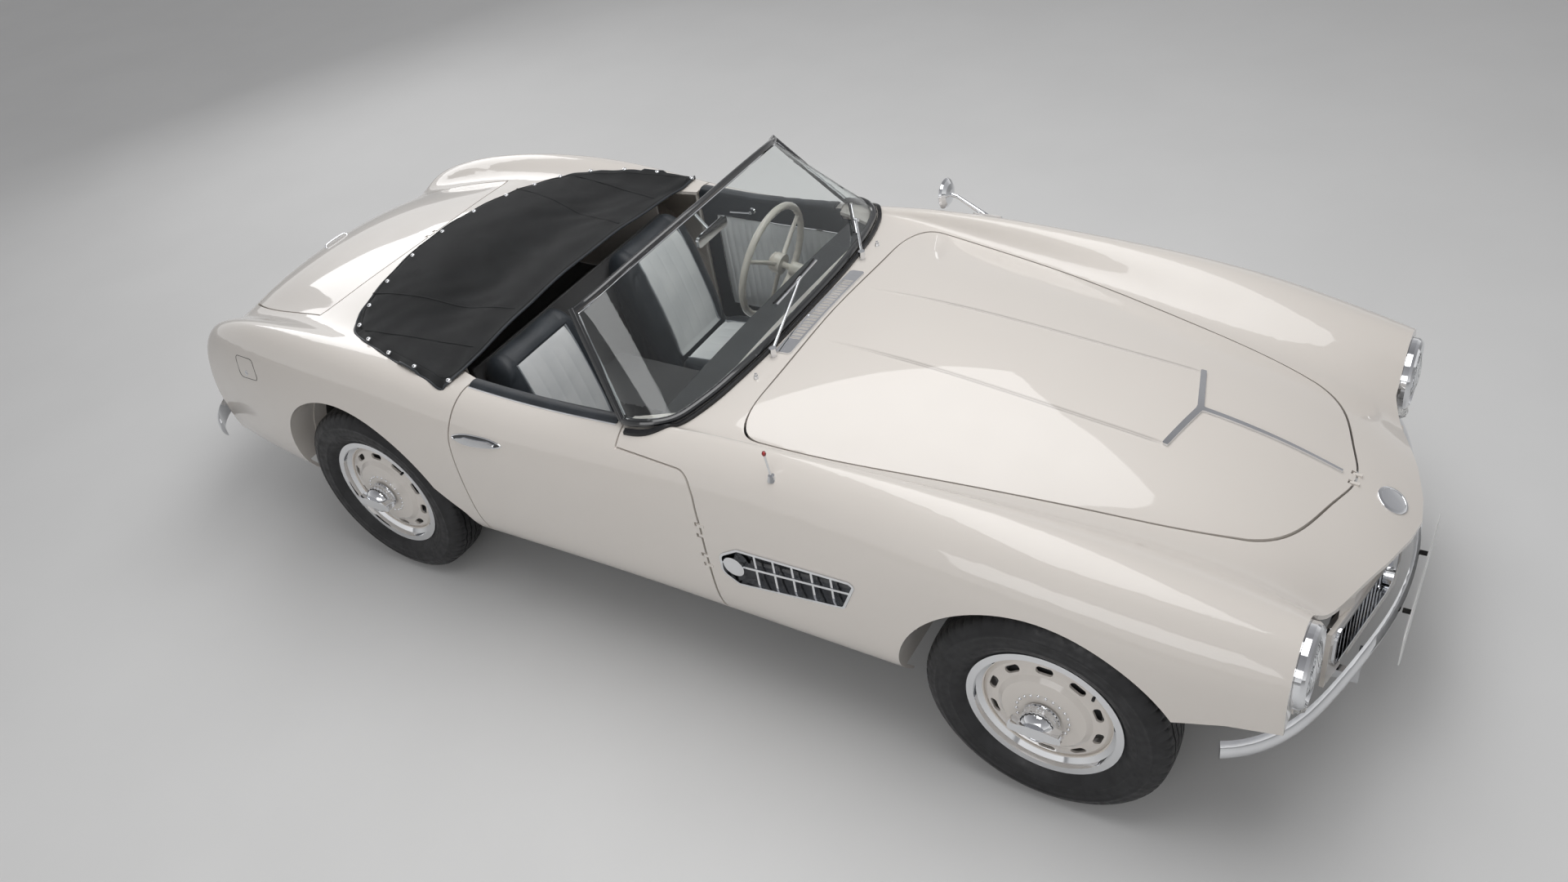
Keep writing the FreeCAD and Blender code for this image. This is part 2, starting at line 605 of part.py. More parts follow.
def knuckle(side):
    """Upright with kingpin, stub axle, brake plate and steering arm."""
    x, y, z = FRONT_AXLE_X, side * FRONT_TRACK / 2, TYRE_RADIUS
    pin_y = y - side * KINGPIN_OFFSET
    parts = [rod((x, pin_y, 222.0), (x, pin_y, 468.0), KINGPIN_RADIUS),
             rod((x, pin_y, z), (x, y - side * 40.0, z), 30.0),
             rod((x, y - side * 46.0, z), (x, y - side * 40.0, z), 148.0),
             rod((x, y - side * 46.0, z), (x, y + side * 56.0, z), 22.0),
             rod((x, pin_y, 300.0), (x - 150.0, pin_y - side * 24.0, 300.0), 12.0)]
    return largest(fuse(parts))


def write(name, shape):
    shape.exportStep("parts/%s.step" % name)


# Painted body

def painted_body(parts):
    outer = closed_body(0.0, UNDER_Z)
    inner = closed_body(SKIN, UNDER_Z - 40.0)
    lid_inner = closed_body(LID_SKIN, UNDER_Z - 40.0)
    trim = [ground_line(), nose_cut()]
    solid = outer.cut(trim)
    hollow = solid.common(inner)
    skin = solid.cut(inner)

    # Bonnet with two hinges at its leading edge
    bonnet = skin_of(solid, lid_inner).common(hood_plan(PANEL_GAP))
    bonnet = largest(bonnet)
    hinge_z = surface_z(outer, BONNET_FRONT_X - HINGE_GAP - HINGE_LEAD, 40.0) - HINGE_INSET
    bonnet_axis = (BONNET_FRONT_X - HINGE_GAP - HINGE_LEAD, 0.0, hinge_z)
    bonnet, bonnet_arms = hinged(bonnet, [bonnet_axis], (0, 1, 0), (1, 0, 0))
    parts["bonnet"] = bonnet

    # Boot lid, also hinged at its leading edge
    lid = largest(skin_of(solid, lid_inner).common(boot_plan(PANEL_GAP)))
    boot_x = BOOT_FRONT_X - HINGE_GAP - HINGE_LEAD
    boot_axis = (boot_x, 0.0, surface_z(outer, boot_x, 30.0) - HINGE_INSET)
    lid, boot_arms = hinged(lid, [boot_axis], (0, 1, 0), (1, 0, 0))
    parts["boot_lid"] = lid

    # Doors
    door_y = widest_y(outer, DOOR_FRONT_X - 8.0) - HINGE_INSET
    door_x = DOOR_FRONT_X - HINGE_GAP - HINGE_LEAD
    door = largest(solid.common(door_side(PANEL_GAP, 500.0, 1000.0)).common(door_depth(0.0)))
    spots = [(door_x, door_y, 575.0), (door_x, door_y, 690.0)]
    door, door_arms = hinged(door, spots, (0, 0, 1), (1, 0, 0))
    parts["door_left"] = door
    parts["door_right"] = mirror_y(door)

    # Front body: wings, scuttle, nose and inner walls
    openings = [hood_plan(0.0), boot_plan(0.0), cockpit_plan()]
    shell = skin.cut(openings)
    doors_out = door_side(0.0, 600.0, 1000.0)
    doors_out = [doors_out, mirror_y(doors_out)]
    shell = shell.cut(doors_out)
    split_front = box(-100.0, 2500.0, -1000.0, 1000.0, 0.0, 1500.0)
    split_rear = box(-2500.0, -100.0, -1000.0, 1000.0, 0.0, 1500.0)
    arches = both(front_arch()) + both(rear_arch())
    front = shell.common(split_front)
    rear = shell.common(split_rear)

    lamp_plate = hollow.common(box(LAMP_PLANE_X - 14.0, LAMP_PLANE_X, -1000.0, 1000.0, 300.0, 900.0))
    lamp_plate = lamp_plate.cut(box(0.0, 2500.0, -440.0, 440.0, 0.0, 1500.0))
    lamp_plate = lamp_plate.cut(both(rod((LAMP_PLANE_X - 88.0, LAMP_Y, LAMP_Z), (LAMP_PLANE_X + 112.0, LAMP_Y, LAMP_Z), LAMP_BORE)))
    grille_wall = hollow.common(nose_panel(0.0, 12.0, 300.0, 900.0))
    cut_grille = both(grille_outline(0.0, 1700.0, 2300.0))
    grille_wall = grille_wall.cut(cut_grille)
    cheek = hollow.common(fuse(both(box(LAMP_PLANE_X - 63.0, LAMP_PLANE_X, 438.0, 450.0, 300.0, 900.0))))
    flank = box(fwd(330.0), LAMP_PLANE_X, VALANCE_Y - 10.0, VALANCE_Y, VALANCE_Z, 560.0)
    chin = box(LAMP_PLANE_X - 14.0, LAMP_PLANE_X, 440.0, VALANCE_Y, VALANCE_Z, 560.0)
    flanks = hollow.common(fuse(both(flank) + both(chin)))
    front_post = hollow.common(box(DOOR_FRONT_X + 7.0, DOOR_FRONT_X + 17.0, 600.0, 900.0, 200.0, 1000.0))
    front_wall = hollow.common(box(DOOR_FRONT_X + 7.0, fwd(-430.0), 600.0, 608.0, 240.0, 1000.0))
    pods = both(rod((LAMP_PLANE_X - 46.0, LAMP_Y, TURN_LAMP_Z), (LAMP_PLANE_X, LAMP_Y, TURN_LAMP_Z), 34.0, 30.0))
    front_bits = [front, lamp_plate, grille_wall, cheek, flanks] + both(front_post) + pods
    scuttle = hollow.common(box(288.0, 300.0, -636.0, 636.0, 760.0, 1000.0))
    front_bits += [scuttle]
    lid_zone = solid.cut(closed_body(LID_SKIN + 9.0, UNDER_Z - 40.0))
    house = hollow.common(front_liner()).cut(lid_zone.common(hood_plan(-4.0)))
    front_house = [house, mirror_y(house)]
    front_bits += front_house
    front = fuse(front_bits)
    front = front.fuse(both(solid.common(vent_prism(-5.0, VENT_FLOOR_Y - 6.0, 1000.0))))
    front = front.cut(both(vent_prism(0.0, VENT_FLOOR_Y, 1000.0)))
    front = front.cut(both(front_arch()) + both(box(fwd(480.0), fwd(800.0), 310.0, 350.0, 314.0, 444.0)))
    front = front.fuse(bonnet_arms + door_arms + [mirror_y(a) for a in door_arms])
    parts["front_body"] = largest(front)
    report_loose("front_body", front)

    # Rear body: wings, deck, tail and inner walls
    rear_post = post_wall()
    rear_post = hollow.common(rear_post)
    house = hollow.common(rear_liner()).cut(lid_zone.common(boot_plan(-4.0)))
    house = house.cut(box(REAR_AXLE_X - 60.0, REAR_AXLE_X + 60.0, 500.0, 600.0, 200.0, 440.0))
    rear_house = [house, mirror_y(house)]
    rear = fuse([rear] + both(rear_post) + rear_house)
    rear = rear.cut(both(rear_arch()) + both(box(aft(-1320.0), aft(-810.0), 310.0, 350.0, 364.0, 428.0)))
    rear = rear.fuse(boot_arms)
    parts["rear_body"] = largest(rear)
    report_loose("rear_body", rear)
    return outer, hollow, {"bonnet": bonnet_axis, "boot": boot_axis, "door": (door_x, door_y, 0.0)}


def skin_of(solid, inner):
    return solid.cut(inner)


def report_loose(name, shape):
    loose = sorted((s.Volume for s in shape.Solids), reverse=True)
    if len(loose) > 1:
        print(name, "has loose solids", [round(v) for v in loose])


def surface_z(body, x, y):
    """Height of the body's top at a place."""
    line = Part.LineSegment(V(x, y, 500.0), V(x, y, 1300.0)).toShape()
    return max(v.Z for v in body.common(line).Vertexes)


def resting_z(body, x, y, radius):
    """Height of the middle of a round bar that lies on the body's top at a place."""
    heights = [surface_z(body, x, y) + radius]
    for dx, dy in ((1.0, 0.0), (-1.0, 0.0), (0.0, 1.0), (0.0, -1.0), (0.7, 0.7), (-0.7, 0.7), (0.7, -0.7), (-0.7, -0.7)):
        heights.append(surface_z(body, x + dx * 0.7 * radius, y + dy * 0.7 * radius) + 0.72 * radius)
    return max(heights) + 2 * SEAT_GAP


def widest_y(body, x):
    """How far out the left side of the body reaches at a place along the car."""
    reach = []
    for z in range(500, 740, 20):
        line = Part.LineSegment(V(x, 400.0, z), V(x, 1000.0, z)).toShape()
        reach.append(max(v.Y for v in body.common(line).Vertexes))
    return max(reach)


def front_liner():
    """Inner wall and roof of the left front wheel housing."""
    wall = box(fwd(-520.0), fwd(560.0), 432.0, 440.0, 262.0, 1000.0)
    x, z, r = fwd(FRONT_ARCH_SHIFT), FRONT_ARCH_Z, FRONT_ARCH_RADIUS
    roof = Part.makeCylinder(r + 8.0, 400.0, V(x, 436.0, z), V(0, 1, 0))
    roof = roof.cut([Part.makeCylinder(r, 500.0, V(x, 430.0, z), V(0, 1, 0)), box(0, 2500.0, 400.0, 1000.0, -100.0, 330.0)])
    return wall.fuse(roof)


def rear_liner():
    """Inner wall and roof of the left rear wheel housing."""
    wall = box(aft(-520.0), aft(395.0), 552.0, 560.0, 290.0, 1000.0)
    roof = rear_arch(8.0, 556.0, 900.0).cut([rear_arch(0.0, 550.0, 1000.0), box(-2500.0, 0, 400.0, 1000.0, 0.0, 372.0)])
    return wall.fuse(roof)


def post_wall():
    """The left lock post behind the door, slanted like the door's rear shut face."""
    g = 8.0
    pts = [(-614.0 - g, 990.0), (-541.0 - g, DOOR_INNER_Y), (-541.0 - g - 10.0, DOOR_INNER_Y), (-624.0 - g, 990.0)]
    return prism([(x, y, SILL_Z) for x, y in pts], V(0, 0, 800.0))


def grille_outline(grow, x0, x1):
    """A long rounded opening on the left, pushed along the car."""
    g = grow
    low, high = GRILLE_LOW_Z - g, GRILLE_HIGH_Z + g
    pts = [(x0, 48.0 - g, low), (x0, 424.0 + g, low), (x0, 424.0 + g, high), (x0, 48.0 - g, high)]
    return prism(pts, V(x1 - x0, 0, 0), [62.0 + g, 40.0 + g, 30.0 + g, 30.0 + g])


def vent_prism(inset, y0, y1):
    """The outline of the vent behind the left front wheel, pushed across the car; the inset draws it in."""
    pts = [(x, 0.0, z) for x, z in VENT_OUTLINE]
    face = Part.Face(rounded_wire(pts, [34.0, 34.0, 20.0, 20.0, 16.0, 10.0, 20.0]))
    if inset:
        face = face.makeOffset2D(-inset)
    return face.translated(V(0, y0, 0)).extrude(V(0, y1 - y0, 0))


# Floor, frame and running gear

def floor_tub(parts):
    z0, z1 = 290.0, 296.0
    outline = [(-673.0, -600.0), (560.0, -600.0), (640.0, -425.0), (900.0, -300.0), (900.0, 300.0), (640.0, 425.0),
               (560.0, 600.0), (-673.0, 600.0)]
    floor = prism([(x, y, z0) for x, y in outline], V(0, 0, z1 - z0))
    sills = both(box(-600.0, 392.0, 596.0, 632.0, 262.0, 330.0))
    tunnel = box(-673.0, 560.0, -130.0, 130.0, z1 - 2.0, 450.0).cut(box(-810.0, 570.0, -124.0, 124.0, 200.0, 444.0))
    tunnel_mouth = box(-810.0, 910.0, -124.0, 124.0, 200.0, z1 + 1.0)
    firewall = box(552.0, 560.0, -600.0, 600.0, z0, 838.0).cut(box(540.0, 570.0, -124.0, 124.0, 200.0, 444.0))
    bulkhead = box(-673.0, -665.0, -545.0, 545.0, z0, 826.0).cut(box(-810.0, -650.0, -124.0, 124.0, 200.0, 444.0))
    shelf = box(aft(-360.0), -668.0, -545.0, 545.0, 520.0, 526.0)
    boot_floor = box(aft(-870.0), aft(-360.0), -520.0, 520.0, 430.0, 436.0)
    step = box(aft(-366.0), aft(-360.0), -520.0, 520.0, 430.0, 526.0)
    tub = fuse([floor.cut(tunnel_mouth)] + sills + [tunnel, firewall, bulkhead, shelf, boot_floor, step])
    tub = tub.cut(box(540.0, 950.0, -124.0, 124.0, 200.0, 444.0))
    parts["floor_tub"] = largest(tub)
    report_loose("floor_tub", tub)


def chassis(parts):
    y0, y1 = 300.0, 360.0
    side = [(fwd(500.0), 300.0), (fwd(160.0), 300.0), (fwd(60.0), 262.0), (fwd(-500.0), 205.0), (aft(340.0), 205.0),
            (aft(220.0), 400.0), (aft(-220.0), 400.0), (aft(-400.0), 350.0), (aft(-820.0), 350.0), (aft(-820.0), 425.0),
            (aft(-360.0), 425.0), (aft(-240.0), 490.0), (aft(260.0), 490.0), (aft(390.0), 289.0), (fwd(-500.0), 289.0),
            (fwd(60.0), 345.0), (fwd(500.0), 365.0)]
    rail = prism([(x, y0, z) for x, z in side], V(0, y1 - y0, 0))
    half = y0 + 10.0
    cross = [box(fwd(-60.0), fwd(60.0), -half, half, 262.0, 300.0), box(fwd(440.0), fwd(490.0), -half, half, 305.0, 355.0),
             box(560.0, 620.0, -half, half, 256.0, 289.0), box(-660.0, -600.0, -half, half, 256.0, 289.0),
             box(aft(-800.0), aft(-750.0), -half, half, 355.0, 420.0), box(aft(240.0), aft(290.0), -half, half, 440.0, 486.0)]
    outriggers = []
    for x in (420.0, -560.0):
        outriggers += both(box(x - 30.0, x + 30.0, 355.0, 610.0, 215.0, 262.0))
    outriggers += both(box(aft(-500.0), aft(-460.0), 355.0, 552.0, 370.0, 410.0))
    outriggers += both(box(fwd(380.0), fwd(420.0), 355.0, 434.0, 305.0, 345.0))
    eyes, holes = [], []
    for x, z, lead in ((fwd(490.0), 330.0, 1.0), (aft(-800.0), 385.0, -1.0)):
        x0, x1 = sorted((x - lead * 4.0, x + lead * TOW_REACH))
        eyes.append(box(x0, x1, -TOW_REACH / 2, TOW_REACH / 2, z - 10.0, z + 10.0))
        holes.append(rod((x + lead * TOW_REACH / 2, 0.0, z - 60.0), (x + lead * TOW_REACH / 2, 0.0, z + 60.0), TOW_BORE))
    frame = fuse(both(rail) + cross + outriggers + eyes).cut(holes)
    parts["chassis_frame"] = largest(frame)
    report_loose("chassis_frame", frame)


def running_gear(parts):
    parts["engine_block"] = fuse([box(fwd(-570.0), fwd(80.0), -240.0, 240.0, 380.0, 760.0),
                                  box(fwd(-500.0), fwd(-70.0), -140.0, 140.0, 240.0, 381.0)])
    x = REAR_AXLE_X
    gearbox = box(300.0, fwd(-570.0) - 0.5, -100.0, 100.0, 300.0, 430.0)
    shaft = rod((299.0, 0, 365.0), (x + 150.0, 0, 350.0), 32.0)
    parts["driveline"] = fuse([gearbox, shaft, rod((301.0, 0, 365.0), (299.0, 0, 365.0), 34.0)])
    axle = [rod((x, -620.0, TYRE_RADIUS), (x, 620.0, TYRE_RADIUS), 38.0)]
    for s in (-1.0, 1.0):
        y = s * REAR_TRACK / 2
        axle.append(rod((x, s * 600.0, TYRE_RADIUS), (x, y + s * 56.0, TYRE_RADIUS), 22.0))
        axle.append(rod((x, y - s * 46.0, TYRE_RADIUS), (x, y - s * 40.0, TYRE_RADIUS), 148.0))
        axle.append(rod((x, y - s * 60.0, TYRE_RADIUS), (x, y - s * 44.0, TYRE_RADIUS), 60.0))
    ball = Part.makeSphere(135.0, V(x, 0, TYRE_RADIUS))
    nose = rod((x + 60.0, 0, 349.0), (x + 149.5, 0, 350.0), 60.0, 48.0)
    pads = both(rod((x, 330.0, TYRE_RADIUS), (x, 330.0, 399.8), 40.0, 30.0))
    parts["rear_axle"] = largest(fuse(axle + [ball, nose] + pads))
    fx, pin = FRONT_AXLE_X, FRONT_TRACK / 2 - KINGPIN_OFFSET
    arms = []
    for z0, z1, rise in ((231.0, 251.0, 285.0), (440.0, 460.0, 432.0)):
        eye = rod((fx, pin, z0), (fx, pin, z1), KINGPIN_EYE)
        mid = (z0 + z1) / 2
        pivot = rod((fx - 150.0, 374.5, rise), (fx + 150.0, 374.5, rise), 14.0)
        legs = [rod((fx, pin, mid), (fx + s * 130.0, 374.5, rise), 9.5) for s in (-1.0, 1.0)]
        bore = rod((fx, pin, z0 - 30.0), (fx, pin, z1 + 30.0), KINGPIN_RADIUS + RUNNING)
        arms.append(largest(fuse([eye, pivot] + legs).cut(bore)))
    tower = box(fx - 120.0, fx + 120.0, 305.0, 365.0, 300.0, 450.0).cut(parts["chassis_frame"])
    tower = max(tower.Solids, key=lambda solid: solid.BoundBox.ZMax)
    arms[1] = largest(arms[1].fuse(tower))
    parts["front_suspension"] = Part.Compound(arms + [mirror_y(arm) for arm in arms])
    for name, s in (("left", 1.0), ("right", -1.0)):
        parts["knuckle_" + name] = knuckle(s)
        parts["tyre_front_" + name] = tyre(fx, s * FRONT_TRACK / 2, s)
        parts["tyre_rear_" + name] = tyre(x, s * REAR_TRACK / 2, s)
        parts["wheel_front_" + name] = wheel(fx, s * FRONT_TRACK / 2, s)
        parts["wheel_rear_" + name] = wheel(x, s * REAR_TRACK / 2, s)
    pipe_y = 210.0
    z = 232.0
    muffler = rod((-200.0, -pipe_y, z), (-560.0, -pipe_y, z), 45.0)
    tail = pipe([(fwd(-520.0), -pipe_y, z), (aft(320.0), -pipe_y, z), (aft(-170.0), -pipe_y, z), (aft(-520.0), -pipe_y, 300.0),
                 (aft(-980.0), -pipe_y, 300.0)], 22.0, 120.0)
    hangers = [box(580.0, 600.0, -pipe_y - 6.0, -pipe_y + 6.0, z, 255.7), box(-640.0, -620.0, -pipe_y - 6.0, -pipe_y + 6.0, z, 255.7),
               box(aft(-790.0), aft(-770.0), -pipe_y - 6.0, -pipe_y + 6.0, 305.0, 354.7)]
    parts["exhaust"] = fuse([muffler, tail] + hangers)


# Lamps, bumpers and trim

def front_trim(parts):
    ring = [(94.0, -10.0), (108.0, -10.0), (108.0, 6.0), (104.0, 14.0), (96.0, 20.0), (90.0, 10.0), (90.0, 0.0)]
    rims = [revolve_x(ring, LAMP_PLANE_X + 10.5, s * LAMP_Y, LAMP_Z) for s in (-1.0, 1.0)]
    lens = [(0.0, -40.0), (60.0, -34.0), (89.5, 0.0), (89.5, 8.0), (60.0, 22.0), (30.0, 28.0), (0.0, 30.0)]
    lenses = [revolve_x(lens, LAMP_PLANE_X + 10.5, s * LAMP_Y, LAMP_Z) for s in (-1.0, 1.0)]
    parts["headlamp_lenses"] = Part.Compound(lenses)
    turn = [(0.0, 0.2), (26.0, 0.2), (26.0, 10.0), (18.0, 24.0), (0.0, 28.0)]
    lamps = [revolve_x(turn, LAMP_PLANE_X, s * LAMP_Y, TURN_LAMP_Z) for s in (-1.0, 1.0)]
    parts["turn_lamps"] = Part.Compound(lamps)
    frame = grille_outline(-0.2, 1940.0, 2160.0).cut(grille_outline(-9.0, 1900.0, 2300.0))
    frame = frame.common(nose_panel(-7.0, 34.0, 300.0, 900.0))
    bars = [box(1900.0, 2200.0, y, y + 4.0, 420.0, 580.0) for y in range(66, 420, 26)]
    slats = grille_outline(-8.0, 1940.0, 2160.0).common(nose_panel(14.0, 10.0, 300.0, 900.0))
    slats = slats.common(Part.Compound(bars))
    one = fuse([frame] + slats.Solids)
    parts["nose_trim"] = Part.Compound([largest(one), mirror_y(largest(one))] + rims)
    report_loose("nose_trim", one)


def revolve_x(profile, x, y, z):
    pts = [V(x + d, y, z + r) for r, d in profile]
    wire = Part.makePolygon(pts + [pts[0]])
    return Part.Face(wire).revolve(V(x, y, z), V(1, 0, 0), 360)


def bumper_blade(half, low, high, ahead):
    """A bowed blade with a rounded section, swept along half a plan line and mirrored; ahead is +1 or -1."""
    pts = [V(x, y, (low + high) / 2) for x, y in half]
    pts = [V(p.x, -p.y, p.z) for p in reversed(pts[1:])] + pts
    path = Part.BSplineCurve()
    path.interpolate(pts)
    start = path.value(path.FirstParameter)
    tangent = path.tangent(path.FirstParameter)[0]
    up = V(0, 0, 1)
    out = tangent.cross(up)
    out.normalize()
    if out.y > 0:
        out = out * -1
    tall = (high - low) / 2
    corners = [start - up * tall, start - up * tall * 0.55 + out * 11.0, start + out * 15.0,
               start + up * tall * 0.55 + out * 11.0, start + up * tall]
    bow = Part.BSplineCurve()
    bow.interpolate(corners)
    back = Part.LineSegment(corners[-1], corners[0]).toShape()
    ring = Part.Wire([bow.toShape(), back])
    return Part.Wire([path.toShape()]).makePipeShell([ring], True, False)


def bumpers(parts):
    low, high = BUMPER_LOW_Z, BUMPER_HIGH_Z
    reach = BODY_HALF_WIDTH - 49.0
    half = [(fwd(738.0), 0.0), (fwd(724.0), 0.232 * reach), (fwd(690.0), 0.438 * reach), (fwd(646.0), 0.644 * reach),
            (fwd(590.0), 0.825 * reach), (fwd(530.0), 0.930 * reach), (fwd(452.0), reach)]
    bar = bumper_blade(half, low, high, 1)
    riser = box(fwd(680.0), fwd(691.5), 318.0, 342.0, 322.0, 440.0)
    stay = both(box(fwd(480.0), fwd(691.5), 318.0, 342.0, 322.0, 350.0)) + both(riser)
    bar = fuse([bar] + stay).cut(parts["chassis_frame"])
    parts["front_bumper"] = largest(bar)
    report_loose("front_bumper", bar)
    reach = BODY_HALF_WIDTH - 35.0
    half = [(aft(-1088.0), 0.0), (aft(-1080.0), 0.228 * reach), (aft(-1056.0), 0.430 * reach), (aft(-1014.0), 0.646 * reach),
            (aft(-960.0), 0.829 * reach), (aft(-898.0), 0.942 * reach), (aft(-820.0), reach)]
    bar = bumper_blade(half, low, high, -1)
    stay = both(box(aft(-1058.0), aft(-815.0), 318.0, 342.0, 372.0, 420.0))
    bar = fuse([bar] + stay).cut(parts["chassis_frame"])
    parts["rear_bumper"] = largest(bar)
    report_loose("rear_bumper", bar)


def curve(points):
    line = Part.BSplineCurve()
    line.interpolate([V(*p) for p in points])
    return line


def along(line, share):
    """The point at a share of a curve's length."""
    return line.value(line.parameterAtDistance(line.length() * share, line.FirstParameter))


def curved_bar(line, radius, count):
    """A bar with a many-sided section along a curve; count is the number of places where the section is set."""
    runs = [[] for side in range(BAR_SIDES)]
    for i in range(count + 1):
        p = along(line, i / count)
        t = line.tangent(line.parameter(p))[0]
        across = V(0, 0, 1).cross(t)
        across.normalize()
        up = t.cross(across)
        for k, run in enumerate(runs):
            a = 2 * math.pi * (k + 0.5) / BAR_SIDES
            run.append(p + across * (radius * math.cos(a)) + up * (radius * math.sin(a)))
    rails = []
    for run in runs:
        rail = Part.BSplineCurve()
        rail.interpolate(run)
        rails.append(rail.toShape())
    faces = [Part.makeRuledSurface(rails[k - 1], rails[k]) for k in range(BAR_SIDES)]
    for spot in (0, -1):
        faces.append(Part.Face(Part.makePolygon([run[spot] for run in runs] + [runs[0][spot]])))
    return closed(Part.Compound(faces))


def screen_tubes(low, high, grow):
    """The bars along the foot, the top and the two ends of the windscreen; grow thickens them all."""
    bars = [curved_bar(low, FOOT_BAR + grow, 20), curved_bar(high, 11.0 + grow, 12)]
    for start, end in ((low.StartPoint, high.StartPoint), (low.EndPoint, high.EndPoint)):
        lead = (end - start) * (12.0 / (end - start).Length)
        bars.append(rod(tuple(start), tuple(end + lead), 12.0 + grow))
    return fuse(bars)


def windscreen(parts, outer):
    plan = [(87.0, 684.0), (150.0, 682.0), (204.0, 660.0), (244.0, 590.0), (271.0, 495.0), (290.0, 380.0), (305.0, 240.0),
            (311.0, 120.0)]
    flat = curve([(x, -y, 0.0) for x, y in plan] + [(312.0, 0.0, 0.0)] + [(x, y, 0.0) for x, y in reversed(plan)])
    spots = [along(flat, i / 28) for i in range(29)]
    base = [(p.x, p.y, resting_z(outer, p.x, p.y, FOOT_BAR)) for p in spots]
    top = [(-104.0, -573.0, 1183.0), (-78.0, -520.0, 1202.0), (-60.0, -360.0, 1218.0), (-52.0, 0.0, 1224.0),
           (-60.0, 360.0, 1218.0), (-78.0, 520.0, 1202.0), (-104.0, 573.0, 1183.0)]
    low, high = curve(base), curve(top)
    steps = 16
    edges = []
    for c in (low, high):
        front = [along(c, i / steps) for i in range(steps + 1)]
        for run in (front, [V(p.x - 5.0, p.y * (1 - 5.0 / 700.0), p.z) for p in front]):
            line = Part.BSplineCurve()
            line.interpolate(run)
            edges.append(line)
    pairs = ((0, 2), (1, 3), (0, 1), (2, 3))
    faces = [Part.makeRuledSurface(edges[i].toShape(), edges[j].toShape()) for i, j in pairs]
    for end in ("StartPoint", "EndPoint"):
        corners = [getattr(edges[i], end) for i in (0, 1, 3, 2)]
        faces.append(Part.makeRuledSurface(Part.LineSegment(corners[0], corners[1]).toShape(),
                                           Part.LineSegment(corners[3], corners[2]).toShape()))
    glass = closed(Part.Compound(faces))
    frame = screen_tubes(low, high, 0.0)
    parts["windscreen_glass"] = largest(glass.cut(screen_tubes(low, high, SEAT_GAP)))
    header = high.value(high.parameter(V(-52.0, 0.0, 1224.0)))
    stem = rod((header.x - 8.0, 0.0, header.z - 9.0), (-2.0, 0.0, 1150.0), 5.0)
    mirror = prism([(-4.0, -82.0, 1132.0), (-4.0, 82.0, 1132.0), (-4.0, 82.0, 1168.0), (-4.0, -82.0, 1168.0)], V(11.0, 0, 0), 12.0)
    frame = fuse([frame, stem, mirror]).cut(closed_body(-SEAT_GAP, UNDER_Z - 40.0))
    rail = curve([(x, y, 0.0) for x, y, z in base])
    shares = [0.010 + 0.98 * i / 40 for i in range(41)]
    edges = []
    for reach in (SEAL_INNER, SEAL_OUTER):
        run = []
        for share in shares:
            p = along(rail, share)
            t = rail.tangent(rail.parameter(p))[0]
            run.append((p.x + reach * t.y, p.y - reach * t.x, 840.0))
        edges.append(curve(run))
    ends = [Part.LineSegment(edges[0].StartPoint, edges[1].StartPoint), Part.LineSegment(edges[0].EndPoint, edges[1].EndPoint)]
    band = Part.Wire(Part.__sortEdges__([line.toShape() for line in edges + ends]))
    parts["windscreen_seal"] = largest(raised(SEAL_HEIGHT, Part.Face(band).extrude(V(0, 0, 160.0))))
    parts["windscreen_frame"] = largest(frame)
    report_loose("windscreen_frame", frame)


def closed(shape):
    """A solid made by sewing the faces of a shape together."""
    shell = Part.Shell(shape.Faces)
    shell.sewShape()
    solid = Part.Solid(shell)
    if solid.Volume < 0:
        solid.reverse()
    return solid


# Fittings on the body

def raised(proud, region):
    """A patch of the body's own curve standing proud of the skin."""
    return closed_body(-proud, UNDER_Z).common(region).cut(closed_body(-SEAT_GAP, UNDER_Z - 40.0))


def front_of(shape, y, z):
    """How far forward a shape reaches at a height and distance out."""
    line = Part.LineSegment(V(-400.0, y, z), V(900.0, y, z)).toShape()
    return max(v.X for v in shape.common(line).Vertexes)


